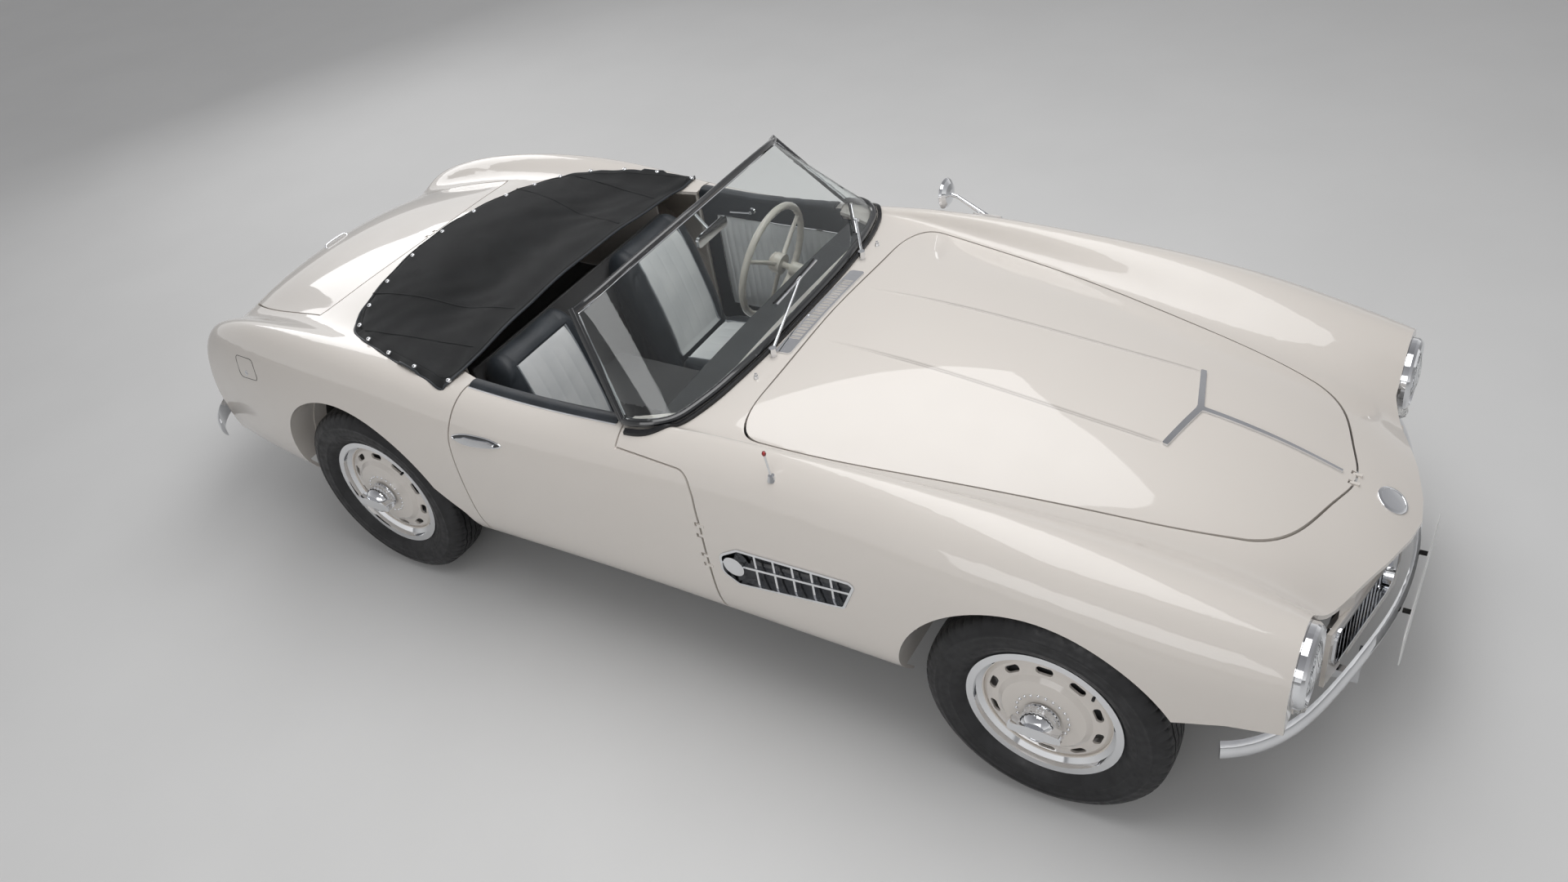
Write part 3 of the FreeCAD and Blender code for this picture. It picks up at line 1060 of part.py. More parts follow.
def fittings(parts, outer):
    # Vents behind the front wheels: surround, one long bar, short bars and a plain disc
    ring = vent_prism(SEAT_GAP, VENT_FLOOR_Y + SEAT_GAP, 1000.0).cut(vent_prism(8.0, VENT_FLOOR_Y, 1000.0))
    inside = vent_prism(7.0, VENT_FLOOR_Y + SEAT_GAP, VENT_FLOOR_Y + 28.0)
    bars = [prism([(430.0, VENT_FLOOR_Y + 10.0, 582.0), (900.0, VENT_FLOOR_Y + 10.0, 616.0),
                   (900.0, VENT_FLOOR_Y + 10.0, 624.0), (430.0, VENT_FLOOR_Y + 10.0, 590.0)], V(0, 16.0, 0))]
    for i in range(VENT_BARS):
        x = 560.0 + 62.0 * i
        bars.append(box(x, x + 7.0, VENT_FLOOR_Y + 8.0, VENT_FLOOR_Y + 24.0, 500.0, 700.0))
    disc = rod((489.0, VENT_FLOOR_Y + 6.0, 587.0), (489.0, VENT_FLOOR_Y + 34.0, 587.0), 35.0)
    one = fuse([ring, disc] + [inside.common(bar) for bar in bars]).common(closed_body(-3.0, UNDER_Z))
    vents = [largest(one), mirror_y(largest(one))]
    report_loose("vents", one)

    # Bonnet trim: a shallow vee and a spear that runs forward from its point
    z = 600.0
    vee = prism([(1506.0, 176.0, z), (1546.0, 7.0, z), (1546.0, -7.0, z), (1506.0, -176.0, z), (1522.0, -178.0, z),
                 (1564.0, -8.0, z), (1936.0, -4.0, z), (1936.0, 4.0, z), (1564.0, 8.0, z), (1522.0, 178.0, z)],
                V(0, 0, 500.0), [4.0, 4.0, 4.0, 4.0, 4.0, 8.0, 3.0, 3.0, 8.0, 4.0])
    parts["bonnet_trim"] = largest(raised(7.0, vee))

    # Door handles shaped as flat spears
    spear = prism([(-365.0, 600.0, 777.0), (-400.0, 600.0, 784.0), (-500.0, 600.0, 781.0), (-543.0, 600.0, 770.0),
                   (-500.0, 600.0, 760.0), (-400.0, 600.0, 768.0)], V(0, 400.0, 0), [3.0, 20.0, 20.0, 3.0, 20.0, 20.0])
    handle = largest(raised(11.0, spear))
    parts["door_handle_left"] = handle
    parts["door_handle_right"] = mirror_y(handle)

    # Air intake ahead of the windscreen
    plate = prism([(346.0, -244.0, 800.0), (399.0, -244.0, 800.0), (399.0, 244.0, 800.0), (346.0, 244.0, 800.0)],
                  V(0, 0, 300.0), 12.0)
    slots = [box(354.0, 391.0, y, y + 11.0, 800.0, 1100.0) for y in range(-172, 172, 17)]
    parts["vents"] = Part.Compound(vents + [largest(raised(5.0, plate.cut(slots)))])

    # Wipers and washers
    glass = parts["windscreen_glass"]
    skin = closed_body(-SEAT_GAP, UNDER_Z - 40.0)
    wiping = []
    pivots = ((352.0, -262.0, 58.0, 992.0, -90.0, 178.0, 984.0, 987.0), (342.0, 330.0, 478.0, 966.0, 430.0, 545.0, 948.0, 985.0))
    for px, py, jy, jz, y0, y1, z0, z1 in pivots:
        foot = surface_z(outer, px, py)
        joint = (front_of(glass, jy, jz) + 26.0, jy, jz)
        middle = (y0 + y1) / 2, (z0 + z1) / 2
        ends = [(front_of(glass, y, z) + BLADE_STAND, y, z) for y, z in ((y0, z0), middle, (y1, z1))]
        pad = ((ends[0][0] + ends[2][0]) / 2, middle[0], (z0 + z1) / 2)
        wiping.append(fuse([rod((px, py, foot - 3.0), (px, py, foot + 16.0), 9.0).cut(skin),
                            rod((px, py, foot + 14.0), (px, py, foot + 30.0), 11.5),
                            rod((px, py, foot + 22.0), joint, 4.5, 3.5),
                            rod((joint[0] + 6.0, joint[1], joint[2] + 6.0), pad, 5.5),
                            rod(ends[0], ends[2], BLADE_RADIUS)]))
    for x, y in ((356.0, -372.0), (344.0, 432.0)):
        foot = surface_z(outer, x, y)
        wiping.append(fuse([rod((x, y, foot + 0.8), (x, y, foot + 10.0), 8.0, 6.0), rod((x, y, foot + 6.0), (x, y, foot + 16.0), 4.0)]))
    parts["wipers"] = Part.Compound([largest(one) for one in wiping])

    # Mirror on the left wing and aerial on the right wing
    plinth = raised(7.0, prism([(560.0, 728.0, 700.0), (668.0, 722.0, 700.0), (668.0, 738.0, 700.0), (560.0, 752.0, 700.0)],
                               V(0, 0, 400.0), 7.0))
    foot = surface_z(outer, 600.0, 738.0)
    stalk = [rod((612.0, 737.0, foot + 3.0), (500.0, 745.0, 955.0), 9.0, 7.0), rod((500.0, 745.0, 955.0), (468.0, 745.0, 962.0), 7.0)]
    head = revolve_x([(0.0, -10.0), (50.0, -10.0), (54.0, -6.0), (50.0, 2.0), (36.0, 12.0), (18.0, 18.0), (0.0, 20.0)], 460.0, 745.0, 962.0)
    mirror = largest(fuse([largest(plinth), head] + stalk).cut(closed_body(-SEAT_GAP, UNDER_Z - 40.0)))
    foot = surface_z(outer, 625.0, -735.0)
    aerial = fuse([rod((625.0, -735.0, foot - 8.0), (625.0, -735.0, foot + 9.0), 14.0, 9.0), rod((625.0, -735.0, foot), (617.0, -737.0, foot + 84.0), 3.5),
                   Part.makeSphere(5.5, V(617.0, -737.0, foot + 84.0))])
    aerial = largest(aerial.cut(skin))
    parts["wing_fittings"] = Part.Compound([mirror, aerial])

    # Tail lamps
    bulb = revolve_x([(0.0, 60.0), (44.0, 60.0), (46.0, -12.0), (40.0, -22.0), (26.0, -30.0), (0.0, -34.0)], aft(-948.0), 612.0, 610.0)
    lamp = largest(bulb.cut(skin))
    parts["tail_lamps"] = Part.Compound([lamp, mirror_y(lamp)])

    # Gear lever, handbrake and pedals
    lever = fuse([rod((190.0, 0.0, 450.0 + SEAT_GAP), (190.0, 0.0, 470.0), 45.0, 26.0), rod((190.0, 0.0, 460.0), (130.0, 0.0, 640.0), 7.0, 6.0),
                  Part.makeSphere(22.0, V(127.0, 0.0, 650.0))])
    brake = fuse([box(-230.0, -190.0, -84.0, -60.0, 450.3, 475.0), rod((-212.0, -72.0, 465.0), (-70.0, -72.0, 540.0), 9.0, 13.0)])
    pedals = []
    for y in (232.0, 330.0, 428.0):
        pedals.append(fuse([rod((544.0, y, 515.0), (500.0, y, 400.0), 8.0), box(488.0, 500.0, y - 30.0, y + 30.0, 350.0, 420.0)]))
    parts["controls"] = Part.Compound([lever, brake] + pedals)


def cabin(parts, hollow):
    dash = hollow.common(box(150.0, 262.0, -612.0, 612.0, 690.0, 1000.0))
    top = hollow.common(box(255.0, 292.0, -612.0, 612.0, 860.0, 1000.0))
    dash = fuse([dash, top]).cut(parts["front_body"])
    parts["dashboard"] = largest(dash)
    report_loose("dashboard", dash)
    cx, cy, cz, t = -53.0, 370.0, 822.0, 0.21
    axis = V(-math.cos(t), 0, math.sin(t))
    centre = V(cx, cy, cz)
    ring = Part.makeTorus(212.0 - 11.0, 11.0, centre, axis)
    hub = Part.makeCylinder(38.0, 30.0, centre - axis * 45.0, axis)
    stem = Part.makeCylinder(12.0, 260.0, centre - axis * 300.0, axis)
    spokes = []
    side = V(0, 1, 0)
    up = axis.cross(side)
    for angle in (90.0, 210.0, 330.0):
        a = math.radians(angle)
        d = side * math.cos(a) + up * math.sin(a)
        tip = centre + d * 200.0
        root = centre - axis * 30.0 + d * 20.0
        spokes.append(rod(tuple(root), tuple(tip), 9.0, 7.0))
    wheel_solid = largest(fuse([ring, hub, stem] + spokes))
    parts["steering_wheel"] = wheel_solid
    tube = Part.makeCylinder(26.0, 560.0, centre - axis * 640.0, axis)
    tube = tube.cut(Part.makeCylinder(12.0 + RUNNING, 900.0, centre - axis * 800.0, axis))
    tube = tube.cut(Part.makeCylinder(40.0, 300.0, centre - axis * 52.0, axis))
    column_cut = Part.makeCylinder(26.2, 900.0, centre - axis * 800.0, axis)
    parts["dashboard"] = largest(parts["dashboard"].cut(column_cut))
    parts["floor_tub"] = largest(parts["floor_tub"].cut(column_cut))
    parts["front_body"] = largest(parts["front_body"].cut(column_cut))
    parts["steering_column"] = tube
    for name, s in (("left", 1.0), ("right", -1.0)):
        y0, y1 = sorted((s * 140.0, s * 546.0))
        cushion = prism([(-420.0, y0, 300.0), (60.0, y0, 300.0), (90.0, y0, 440.0), (40.0, y0, 470.0), (-420.0, y0, 440.0)],
                        V(0, y1 - y0, 0), [0, 20.0, 30.0, 60.0, 0])
        back = prism([(-421.0, y0, 300.0), (-620.0, y0, 300.0), (-660.0, y0, 780.0), (-610.0, y0, 870.0),
                      (-540.0, y0, 830.0), (-421.0, y0, 440.0)], V(0, y1 - y0, 0), [0, 0, 60.0, 50.0, 50.0, 0])
        seat = Part.Compound([cushion.translated(V(0, 0, -4.0 + SEAT_GAP)), back.translated(V(0, 0, -4.0 + SEAT_GAP))])
        parts["seat_" + name] = seat
    plan = [(-596.0, 722.0), (-800.0, 700.0), (-1070.0, 620.0), (-1180.0, 540.0), (-1250.0, 380.0), (-1300.0, 0.0)]
    plan = plan + [(x, -y) for x, y in reversed(plan[:-1])]
    plan = [(x, y, 760.0) for x, y in plan]
    rounding = [10.0, 200.0, 150.0, 150.0, 200.0, 900.0, 200.0, 150.0, 150.0, 200.0, 10.0]
    blanket = closed_body(-10.0, UNDER_Z).common(prism(plan, V(0, 0, 500.0), rounding))
    under = closed_body(-SEAT_GAP, UNDER_Z - 40.0).common(box(-1500.0, -400.0, -850.0, 850.0, 700.0, 1200.0))
    parts["top_cover"] = largest(blanket.cut(under))


def main():
    os.makedirs("parts", exist_ok=True)
    parts = {}
    outer, hollow, axes = painted_body(parts)
    print("axes", axes)
    floor_tub(parts)
    chassis(parts)
    running_gear(parts)
    front_trim(parts)
    bumpers(parts)
    windscreen(parts, outer)
    cabin(parts, hollow)
    fittings(parts, outer)
    for name, shape in parts.items():
        if not shape.isValid():
            print("not valid:", name)
        write(name, shape)


main()
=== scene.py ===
import math

import bmesh
import bpy
from mathutils import Matrix, Vector
from mathutils.bvhtree import BVHTree


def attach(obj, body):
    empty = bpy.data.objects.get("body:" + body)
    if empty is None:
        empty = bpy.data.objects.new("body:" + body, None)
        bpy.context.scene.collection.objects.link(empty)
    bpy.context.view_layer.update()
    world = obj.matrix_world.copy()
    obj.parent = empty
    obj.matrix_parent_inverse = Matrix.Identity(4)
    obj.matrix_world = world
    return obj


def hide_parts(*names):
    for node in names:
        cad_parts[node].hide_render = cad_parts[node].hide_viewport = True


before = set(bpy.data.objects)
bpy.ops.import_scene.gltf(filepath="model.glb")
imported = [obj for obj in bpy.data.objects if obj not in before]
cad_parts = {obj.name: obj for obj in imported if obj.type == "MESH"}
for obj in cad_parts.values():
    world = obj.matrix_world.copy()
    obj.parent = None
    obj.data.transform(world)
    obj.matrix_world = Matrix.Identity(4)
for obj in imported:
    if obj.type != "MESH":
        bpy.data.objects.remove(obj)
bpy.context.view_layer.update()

# Camera, matched to the photograph: place, aim, roll and focal length in pixels of a 1920 wide frame
CAMERA_AT = Vector((2.2738, -2.8250, 3.0573))
CAMERA_AIM = Vector((0.2614, -0.1707, 0.5000))
CAMERA_ROLL = -0.185
FOCAL_PIXELS = 1558.8
FRAME_WIDTH = 1920.0
SENSOR = 36.0


# Materials

# The record's material slot of each finish, and the finishes that aren't named after theirs
FINISH_SLOTS = {}
SLOT_OF = {"wheel_ivory_front": "paint_ivory", "wheel_ivory_rear": "paint_ivory",
           "paint_ivory_doors": "paint_ivory",
           "screen_frame_chrome": "chrome_trim", "headlamp_glass": "lamp_glass", "recess_painted_shade": "rubber_black",
           "piping_grey": "leather_white", "dial_black": "dash_dark", "radiator_black": "frame_black",
           "housing_liner": "frame_black"}


def set_sockets(node, values):
    for name, value in values.items():
        node.inputs[name].default_value = value


def colour(r, g, b):
    return (r, g, b, 1.0)


class Finish:
    """A node material built round one Principled shader, in object coordinates."""

    def __init__(self, name, **sockets):
        self.material = bpy.data.materials.new(name)
        FINISH_SLOTS[self.material] = SLOT_OF.get(name, name)
        self.material.use_nodes = True
        self.tree = self.material.node_tree
        self.shader = self.tree.nodes["Principled BSDF"]
        self.place = self.tree.nodes.new("ShaderNodeTexCoord").outputs["Object"]
        set_sockets(self.shader, sockets)

    def link(self, a, b):
        self.tree.links.new(a, b)

    def feed(self, socket, value):
        """Drives one of the shader's sockets."""
        self.link(value, self.shader.inputs[socket])

    def fed(self, socket):
        return self.shader.inputs[socket].links[0].from_socket

    def over(self, share, paint):
        """Lays another colour over the present one where the share is one."""
        self.feed("Base Color", self.blend(share, self.fed("Base Color"), paint))

    def node(self, kind, **settings):
        made = self.tree.nodes.new(kind)
        for key, value in settings.items():
            setattr(made, key, value)
        return made

    def noise(self, scale, detail=3.0):
        node = self.node("ShaderNodeTexNoise")
        set_sockets(node, {"Scale": scale, "Detail": detail})
        self.link(self.place, node.inputs["Vector"])
        return node.outputs["Fac"]

    def cells(self, scale, feature="F1"):
        node = self.node("ShaderNodeTexVoronoi", feature=feature)
        node.inputs["Scale"].default_value = scale
        self.link(self.place, node.inputs["Vector"])
        return node.outputs["Distance"]

    def waves(self, scale, direction="X", distortion=0.0):
        node = self.node("ShaderNodeTexWave", bands_direction=direction)
        set_sockets(node, {"Scale": scale, "Distortion": distortion})
        self.link(self.place, node.inputs["Vector"])
        return node.outputs["Fac"]

    def ranged(self, value, low, high, start=0.0, end=1.0):
        node = self.node("ShaderNodeMapRange")
        set_sockets(node, {"From Min": start, "From Max": end, "To Min": low, "To Max": high})
        self.link(value, node.inputs["Value"])
        return node.outputs["Result"]

    def set(self, socket, value):
        """Links a socket to another, or gives it a value."""
        if hasattr(value, "links"):
            self.link(value, socket)
        else:
            socket.default_value = value

    def math(self, kind, a, b=0.0):
        node = self.node("ShaderNodeMath", operation=kind)
        self.set(node.inputs[0], a)
        self.set(node.inputs[1], b)
        return node.outputs[0]

    def times(self, a, b):
        return self.math("MULTIPLY", a, b)

    def blend(self, share, a, b):
        node = self.node("ShaderNodeMix", data_type="RGBA")
        self.link(share, node.inputs["Factor"])
        self.set(node.inputs[6], a)
        self.set(node.inputs[7], b)
        return node.outputs[2]

    def coloured(self, a, b, scale, detail=3.0, start=0.35, end=0.65):
        share = self.ranged(self.noise(scale, detail), 0.0, 1.0, start, end)
        self.feed("Base Color", self.blend(share, a, b))
        return self

    def rough(self, low, high, scale, detail=3.0):
        self.feed("Roughness", self.ranged(self.noise(scale, detail), low, high, 0.3, 0.7))
        return self

    def raised(self, height, strength, distance):
        node = self.node("ShaderNodeBump")
        set_sockets(node, {"Strength": strength, "Distance": distance})
        self.link(height, node.inputs["Height"])
        self.feed("Normal", node.outputs["Normal"])
        return self

    def within(self, value, low, high):
        """One where the value lies between two limits, else nought."""
        return self.times(self.math("GREATER_THAN", value, low), self.math("LESS_THAN", value, high))

    def axis(self, letter):
        node = self.node("ShaderNodeSeparateXYZ")
        self.link(self.place, node.inputs["Vector"])
        return node.outputs[letter]


IVORY = colour(0.735, 0.690, 0.640)
IVORY_SHADE = colour(0.725, 0.678, 0.627)

# The bonnet's raised line: how far out it starts, how it spreads forward, its half width and its height
CREASE_START = 0.1436
CREASE_SLOPE = 0.0188
CREASE_WIDTH = 0.0050
CREASE_HEIGHT = 0.0060

# The floor of the side vents, coloured near-black as painted shade: limits of the distance out, of x and of the
# height
VENT_PAINTED_SHADE = ((0.770, 0.790), (0.436, 0.900), (0.509, 0.681))

# The windscreen's mirror: its limits in height, and how far out it reaches
MIRROR_HIGH = (1.120, 1.211)
MIRROR_HALF = 0.090

BLACK_LEATHER = colour(0.018, 0.022, 0.027)
BLACK_LEATHER_WORN = colour(0.030, 0.036, 0.043)
WHITE_LEATHER = colour(0.70, 0.71, 0.71)
WHITE_LEATHER_SHADE = colour(0.62, 0.635, 0.64)


def lacquer(name, base, shade):
    """Smooth enamel under a clear shine, with a very slight ripple."""
    f = Finish(name, **{"Coat Weight": 1.0, "Coat Roughness": 0.03, "Coat IOR": 1.5, "Specular IOR Level": 0.4})
    f.coloured(base, shade, 1.1, 2.0)
    f.rough(0.34, 0.42, 9.0, 1.0)
    return f


def body_paint(name):
    """Enamel with the raised line that runs along each side of the bonnet, and painted shade: the floor of each
    side vent coloured near-black and metallic.
    """
    f = lacquer(name, IVORY, IVORY_SHADE)
    along = f.axis("X")
    across = f.math("ABSOLUTE", f.axis("Y"))
    line = f.math("ADD", f.times(along, CREASE_SLOPE), CREASE_START)
    off = f.math("DIVIDE", f.math("SUBTRACT", across, line), CREASE_WIDTH)
    ridge = f.math("EXPONENT", f.times(f.times(off, off), -1.0))
    fade = f.times(f.ranged(along, 0.0, 1.0, 0.45, 0.75), f.ranged(along, 1.0, 0.0, 1.47, 1.53))
    f.raised(f.times(ridge, fade), 1.0, CREASE_HEIGHT)
    # Painted shade: near-black, metallic colour on the floor of the side vents
    floor = 1.0
    for value, limits in zip((across, along, f.axis("Z")), VENT_PAINTED_SHADE):
        floor = f.times(floor, f.within(value, *limits))
    f.over(floor, colour(0.050, 0.052, 0.056))
    f.feed("Metallic", f.times(floor, 0.9))
    return f.material


def paint_with_inside(name, limit):
    """Ivory outside; what lies nearer the middle of the car than the limit is black trim."""
    f = lacquer(name, IVORY, IVORY_SHADE)
    reach = f.math("ABSOLUTE", f.axis("Y"))
    inside = f.math("LESS_THAN", reach, limit)
    grain = f.blend(f.ranged(f.cells(420.0), 0.0, 1.0, 0.0, 0.5), BLACK_LEATHER, BLACK_LEATHER_WORN)
    f.over(inside, grain)
    f.feed("Roughness", f.math("ADD", f.fed("Roughness"), f.times(inside, 0.25)))
    f.feed("Coat Weight", f.math("SUBTRACT", 1.0, inside))
    return f.material


def mottled(name, base, shade, scale, detail=3.0, rough=None, bump=None, **sockets):
    """Two shades of a colour; rough is (low, high, scale) and bump is (scale, detail, strength, distance)."""
    f = Finish(name, **sockets)
    f.coloured(base, shade, scale, detail)
    if rough:
        f.rough(*rough)
    if bump:
        f.raised(f.noise(*bump[:2]), *bump[2:])
    return f.material


def metal(name, base, low, high, grain=60.0, bump=0.02):
    shade = colour(*(0.93 * c for c in base[:3]))
    return mottled(name, base, shade, 12.0, rough=(low, high, grain), bump=(grain * 3.0, 2.0, bump, 0.0005),
                   Metallic=1.0)


def rubber(name, base, roughness):
    return mottled(name, colour(*base), colour(*(1.8 * c for c in base)), 26.0, 5.0,
                   (roughness - 0.1, roughness + 0.12, 55.0), (420.0, 3.0, 0.08, 0.0005),
                   **{"Specular IOR Level": 0.4})


def leather(name, base, shade, roughness=0.42):
    f = Finish(name, **{"Specular IOR Level": 0.45, "Sheen Weight": 0.12, "Sheen Roughness": 0.4})
    f.coloured(base, shade, 9.0, 4.0)
    f.rough(roughness - 0.08, roughness + 0.08, 120.0)
    grain = f.cells(520.0, "DISTANCE_TO_EDGE")
    creases = f.noise(38.0, 6.0)
    height = f.math("ADD", f.ranged(grain, 0.0, 1.0, 0.0, 0.12), f.times(creases, 0.9))
    f.raised(height, 0.22, 0.0007)
    return f.material


def woven(name, base, shade):
    f = Finish(name, **{"Roughness": 0.85, "Sheen Weight": 0.12, "Sheen Roughness": 0.5,
                        "Specular IOR Level": 0.3})
    warp, weft, up = (f.waves(900.0, letter, 0.6) for letter in "XYZ")
    f.coloured(base, shade, 14.0, 5.0, 0.3, 0.7)
    f.raised(f.math("MAXIMUM", f.times(warp, weft), f.times(weft, up)), 0.35, 0.0006)
    return f.material


def clear(name, tint):
    f = Finish(name, **{"Transmission Weight": 1.0, "IOR": 1.45, "Base Color": tint})
    f.rough(0.0, 0.015, 6.0)
    return f.material


def fluted_lens(name, tint):
    f = Finish(name, **{"Transmission Weight": 0.85, "IOR": 1.45, "Base Color": tint, "Coat Weight": 0.6})
    f.rough(0.05, 0.12, 30.0)
    f.raised(f.waves(80.0, "Y"), 0.5, 0.002)
    return f.material


def wheel_look(name, axle_x):
    """Ivory disc with a bright outer rim, a bright two-eared nut and a dark brake drum behind."""
    f = lacquer(name, IVORY, IVORY_SHADE)
    dx = f.math("SUBTRACT", f.axis("X"), axle_x)
    dz = f.math("SUBTRACT", f.axis("Z"), AXLE_Z)
    reach = f.math("SQRT", f.math("ADD", f.times(dx, dx), f.times(dz, dz)))
    out = f.math("ABSOLUTE", f.axis("Y"))
    rim = f.times(f.math("GREATER_THAN", reach, RIM_BRIGHT_FROM), f.math("GREATER_THAN", out, RIM_OUT_FROM))
    nut = f.times(f.math("LESS_THAN", reach, NUT_RADIUS), f.math("GREATER_THAN", out, NUT_FROM[axle_x > 0]))
    bright = f.math("MINIMUM", f.math("ADD", rim, nut), 1.0)
    dark = f.math("LESS_THAN", out, DRUM_BELOW[axle_x > 0])
    f.over(bright, colour(0.83, 0.84, 0.86))
    f.over(f.times(dark, f.math("LESS_THAN", reach, DRUM_RADIUS)), colour(0.05, 0.05, 0.052))
    f.feed("Metallic", bright)
    f.feed("Roughness", f.times(f.fed("Roughness"), f.ranged(bright, 1.0, 0.12)))
    return f.material


def liner_look(name):
    """Near-black deep in a wheel housing, giving way to body colour near the arch's lip."""
    f = lacquer(name, IVORY, IVORY_SHADE)
    deep = f.math("LESS_THAN", f.math("ABSOLUTE", f.axis("Y")), LINER_DARK_BELOW)
    f.over(deep, colour(0.020, 0.020, 0.020))
    f.feed("Coat Weight", f.math("SUBTRACT", 1.0, deep))
    return f.material


def screen_frame_look(name):
    """Black enamel bars with a chrome mirror and stem in the middle."""
    f = Finish(name, **{"Coat Weight": 1.0, "Coat Roughness": 0.04})
    mirror = f.times(f.within(f.axis("Z"), *MIRROR_HIGH),
                     f.math("LESS_THAN", f.math("ABSOLUTE", f.axis("Y")), MIRROR_HALF))
    grain = f.ranged(f.noise(60.0), 0.04, 0.09)
    f.coloured(colour(0.010, 0.011, 0.012), colour(0.016, 0.017, 0.019), 9.0, start=0.3, end=0.7)
    f.over(mirror, colour(0.80, 0.81, 0.83))
    f.feed("Metallic", mirror)
    f.feed("Roughness", f.math("ADD", grain, f.times(f.math("SUBTRACT", 1.0, mirror), 0.16)))
    return f.material


def headlamp_look(name):
    """Fluted glass in front of a bright bowl."""
    f = Finish(name, **{"IOR": 1.45, "Base Color": colour(0.96, 0.97, 0.98)})
    bowl = f.math("LESS_THAN", f.axis("X"), LAMP_BOWL_X)
    f.feed("Transmission Weight", f.math("SUBTRACT", 1.0, bowl))
    f.feed("Metallic", bowl)
    f.rough(0.03, 0.07, 30.0)
    f.raised(f.waves(24.0, "Y"), 0.35, 0.0015)
    return f.material


AXLE_Z = 0.345
RIM_BRIGHT_FROM = 0.1842
RIM_OUT_FROM = 0.735
NUT_RADIUS = 0.080
DRUM_RADIUS = 0.150
NUT_FROM = {True: 0.7832, False: 0.7732}
DRUM_BELOW = {True: 0.7460, False: 0.7360}
LAMP_BOWL_X = 1.9970
LINER_DARK_BELOW = 0.630

PAINT = body_paint("paint_ivory")
WHEEL_LOOKS = {"front": wheel_look("wheel_ivory_front", 1.400), "rear": wheel_look("wheel_ivory_rear", -1.080)}
SCREEN_FRAME = screen_frame_look("screen_frame_chrome")
HEADLAMP = headlamp_look("headlamp_glass")
DIAL = mottled("dial_black", colour(0.02, 0.02, 0.02), colour(0.045, 0.045, 0.045), 160.0,
               rough=(0.35, 0.5, 60.0), **{"Coat Weight": 0.8, "Coat Roughness": 0.03})
RADIATOR = mottled("radiator_black", colour(0.03, 0.03, 0.032), colour(0.07, 0.07, 0.072), 60.0,
                   rough=(0.4, 0.6, 80.0), Metallic=0.6)
DOOR_PAINT = paint_with_inside("paint_ivory_doors", 0.652)
CHROME = metal("chrome_trim", colour(0.83, 0.84, 0.86), 0.03, 0.07)
STEEL = metal("steel_plain", colour(0.36, 0.36, 0.37), 0.35, 0.5, 30.0, 0.1)
IRON = metal("iron_cast", colour(0.20, 0.19, 0.185), 0.45, 0.65, 40.0, 0.25)
ALUMINIUM = metal("aluminium_cast", colour(0.62, 0.62, 0.63), 0.35, 0.5, 50.0, 0.15)
TYRE = rubber("tyre_rubber", (0.011, 0.011, 0.012), 0.45)
RUBBER = rubber("rubber_black", (0.010, 0.010, 0.011), 0.32)
GLASS = clear("screen_glass", colour(0.96, 0.99, 0.98))
LAMP_CLEAR = fluted_lens("lamp_clear", colour(0.98, 0.98, 0.97))
LAMP_RED = fluted_lens("lamp_red", colour(0.55, 0.02, 0.02))
LEATHER_BLACK = leather("leather_black", BLACK_LEATHER, BLACK_LEATHER_WORN)
LEATHER_WHITE = leather("leather_white", WHITE_LEATHER, WHITE_LEATHER_SHADE, 0.38)
PIPING = leather("piping_grey", colour(0.30, 0.32, 0.34), colour(0.26, 0.28, 0.30), 0.45)
CLOTH = woven("cloth_black", colour(0.005, 0.0055, 0.006), colour(0.010, 0.011, 0.012))
CARPET = mottled("carpet_black", colour(0.010, 0.010, 0.011), colour(0.030, 0.030, 0.032), 240.0, 4.0,
                 bump=(700.0, 4.0, 0.8, 0.002),
                 **{"Roughness": 0.95, "Sheen Weight": 0.5, "Sheen Roughness": 0.6, "Specular IOR Level": 0.15})
DASH = leather("dash_dark", colour(0.014, 0.016, 0.019), colour(0.022, 0.025, 0.029), 0.4)
IVORY_PLASTIC = lacquer("ivory_plastic", colour(0.76, 0.71, 0.63), colour(0.74, 0.69, 0.61)).material
FRAME_BLACK = mottled("frame_black", colour(0.018, 0.018, 0.018), colour(0.035, 0.033, 0.031), 30.0, 5.0,
                      (0.6, 0.85, 22.0), (150.0, 4.0, 0.5, 0.002), **{"Specular IOR Level": 0.25})
# Near-black painted shade for the handle recesses
RECESS_PAINTED_SHADE = lacquer("recess_painted_shade", colour(0.014, 0.015, 0.017), colour(0.020, 0.021, 0.024)).material
LINER = liner_look("housing_liner")
PLATE = lacquer("plate_blank", colour(0.80, 0.80, 0.79), colour(0.77, 0.77, 0.76)).material

NODE_SLOTS = {"controls": "frame_black"}

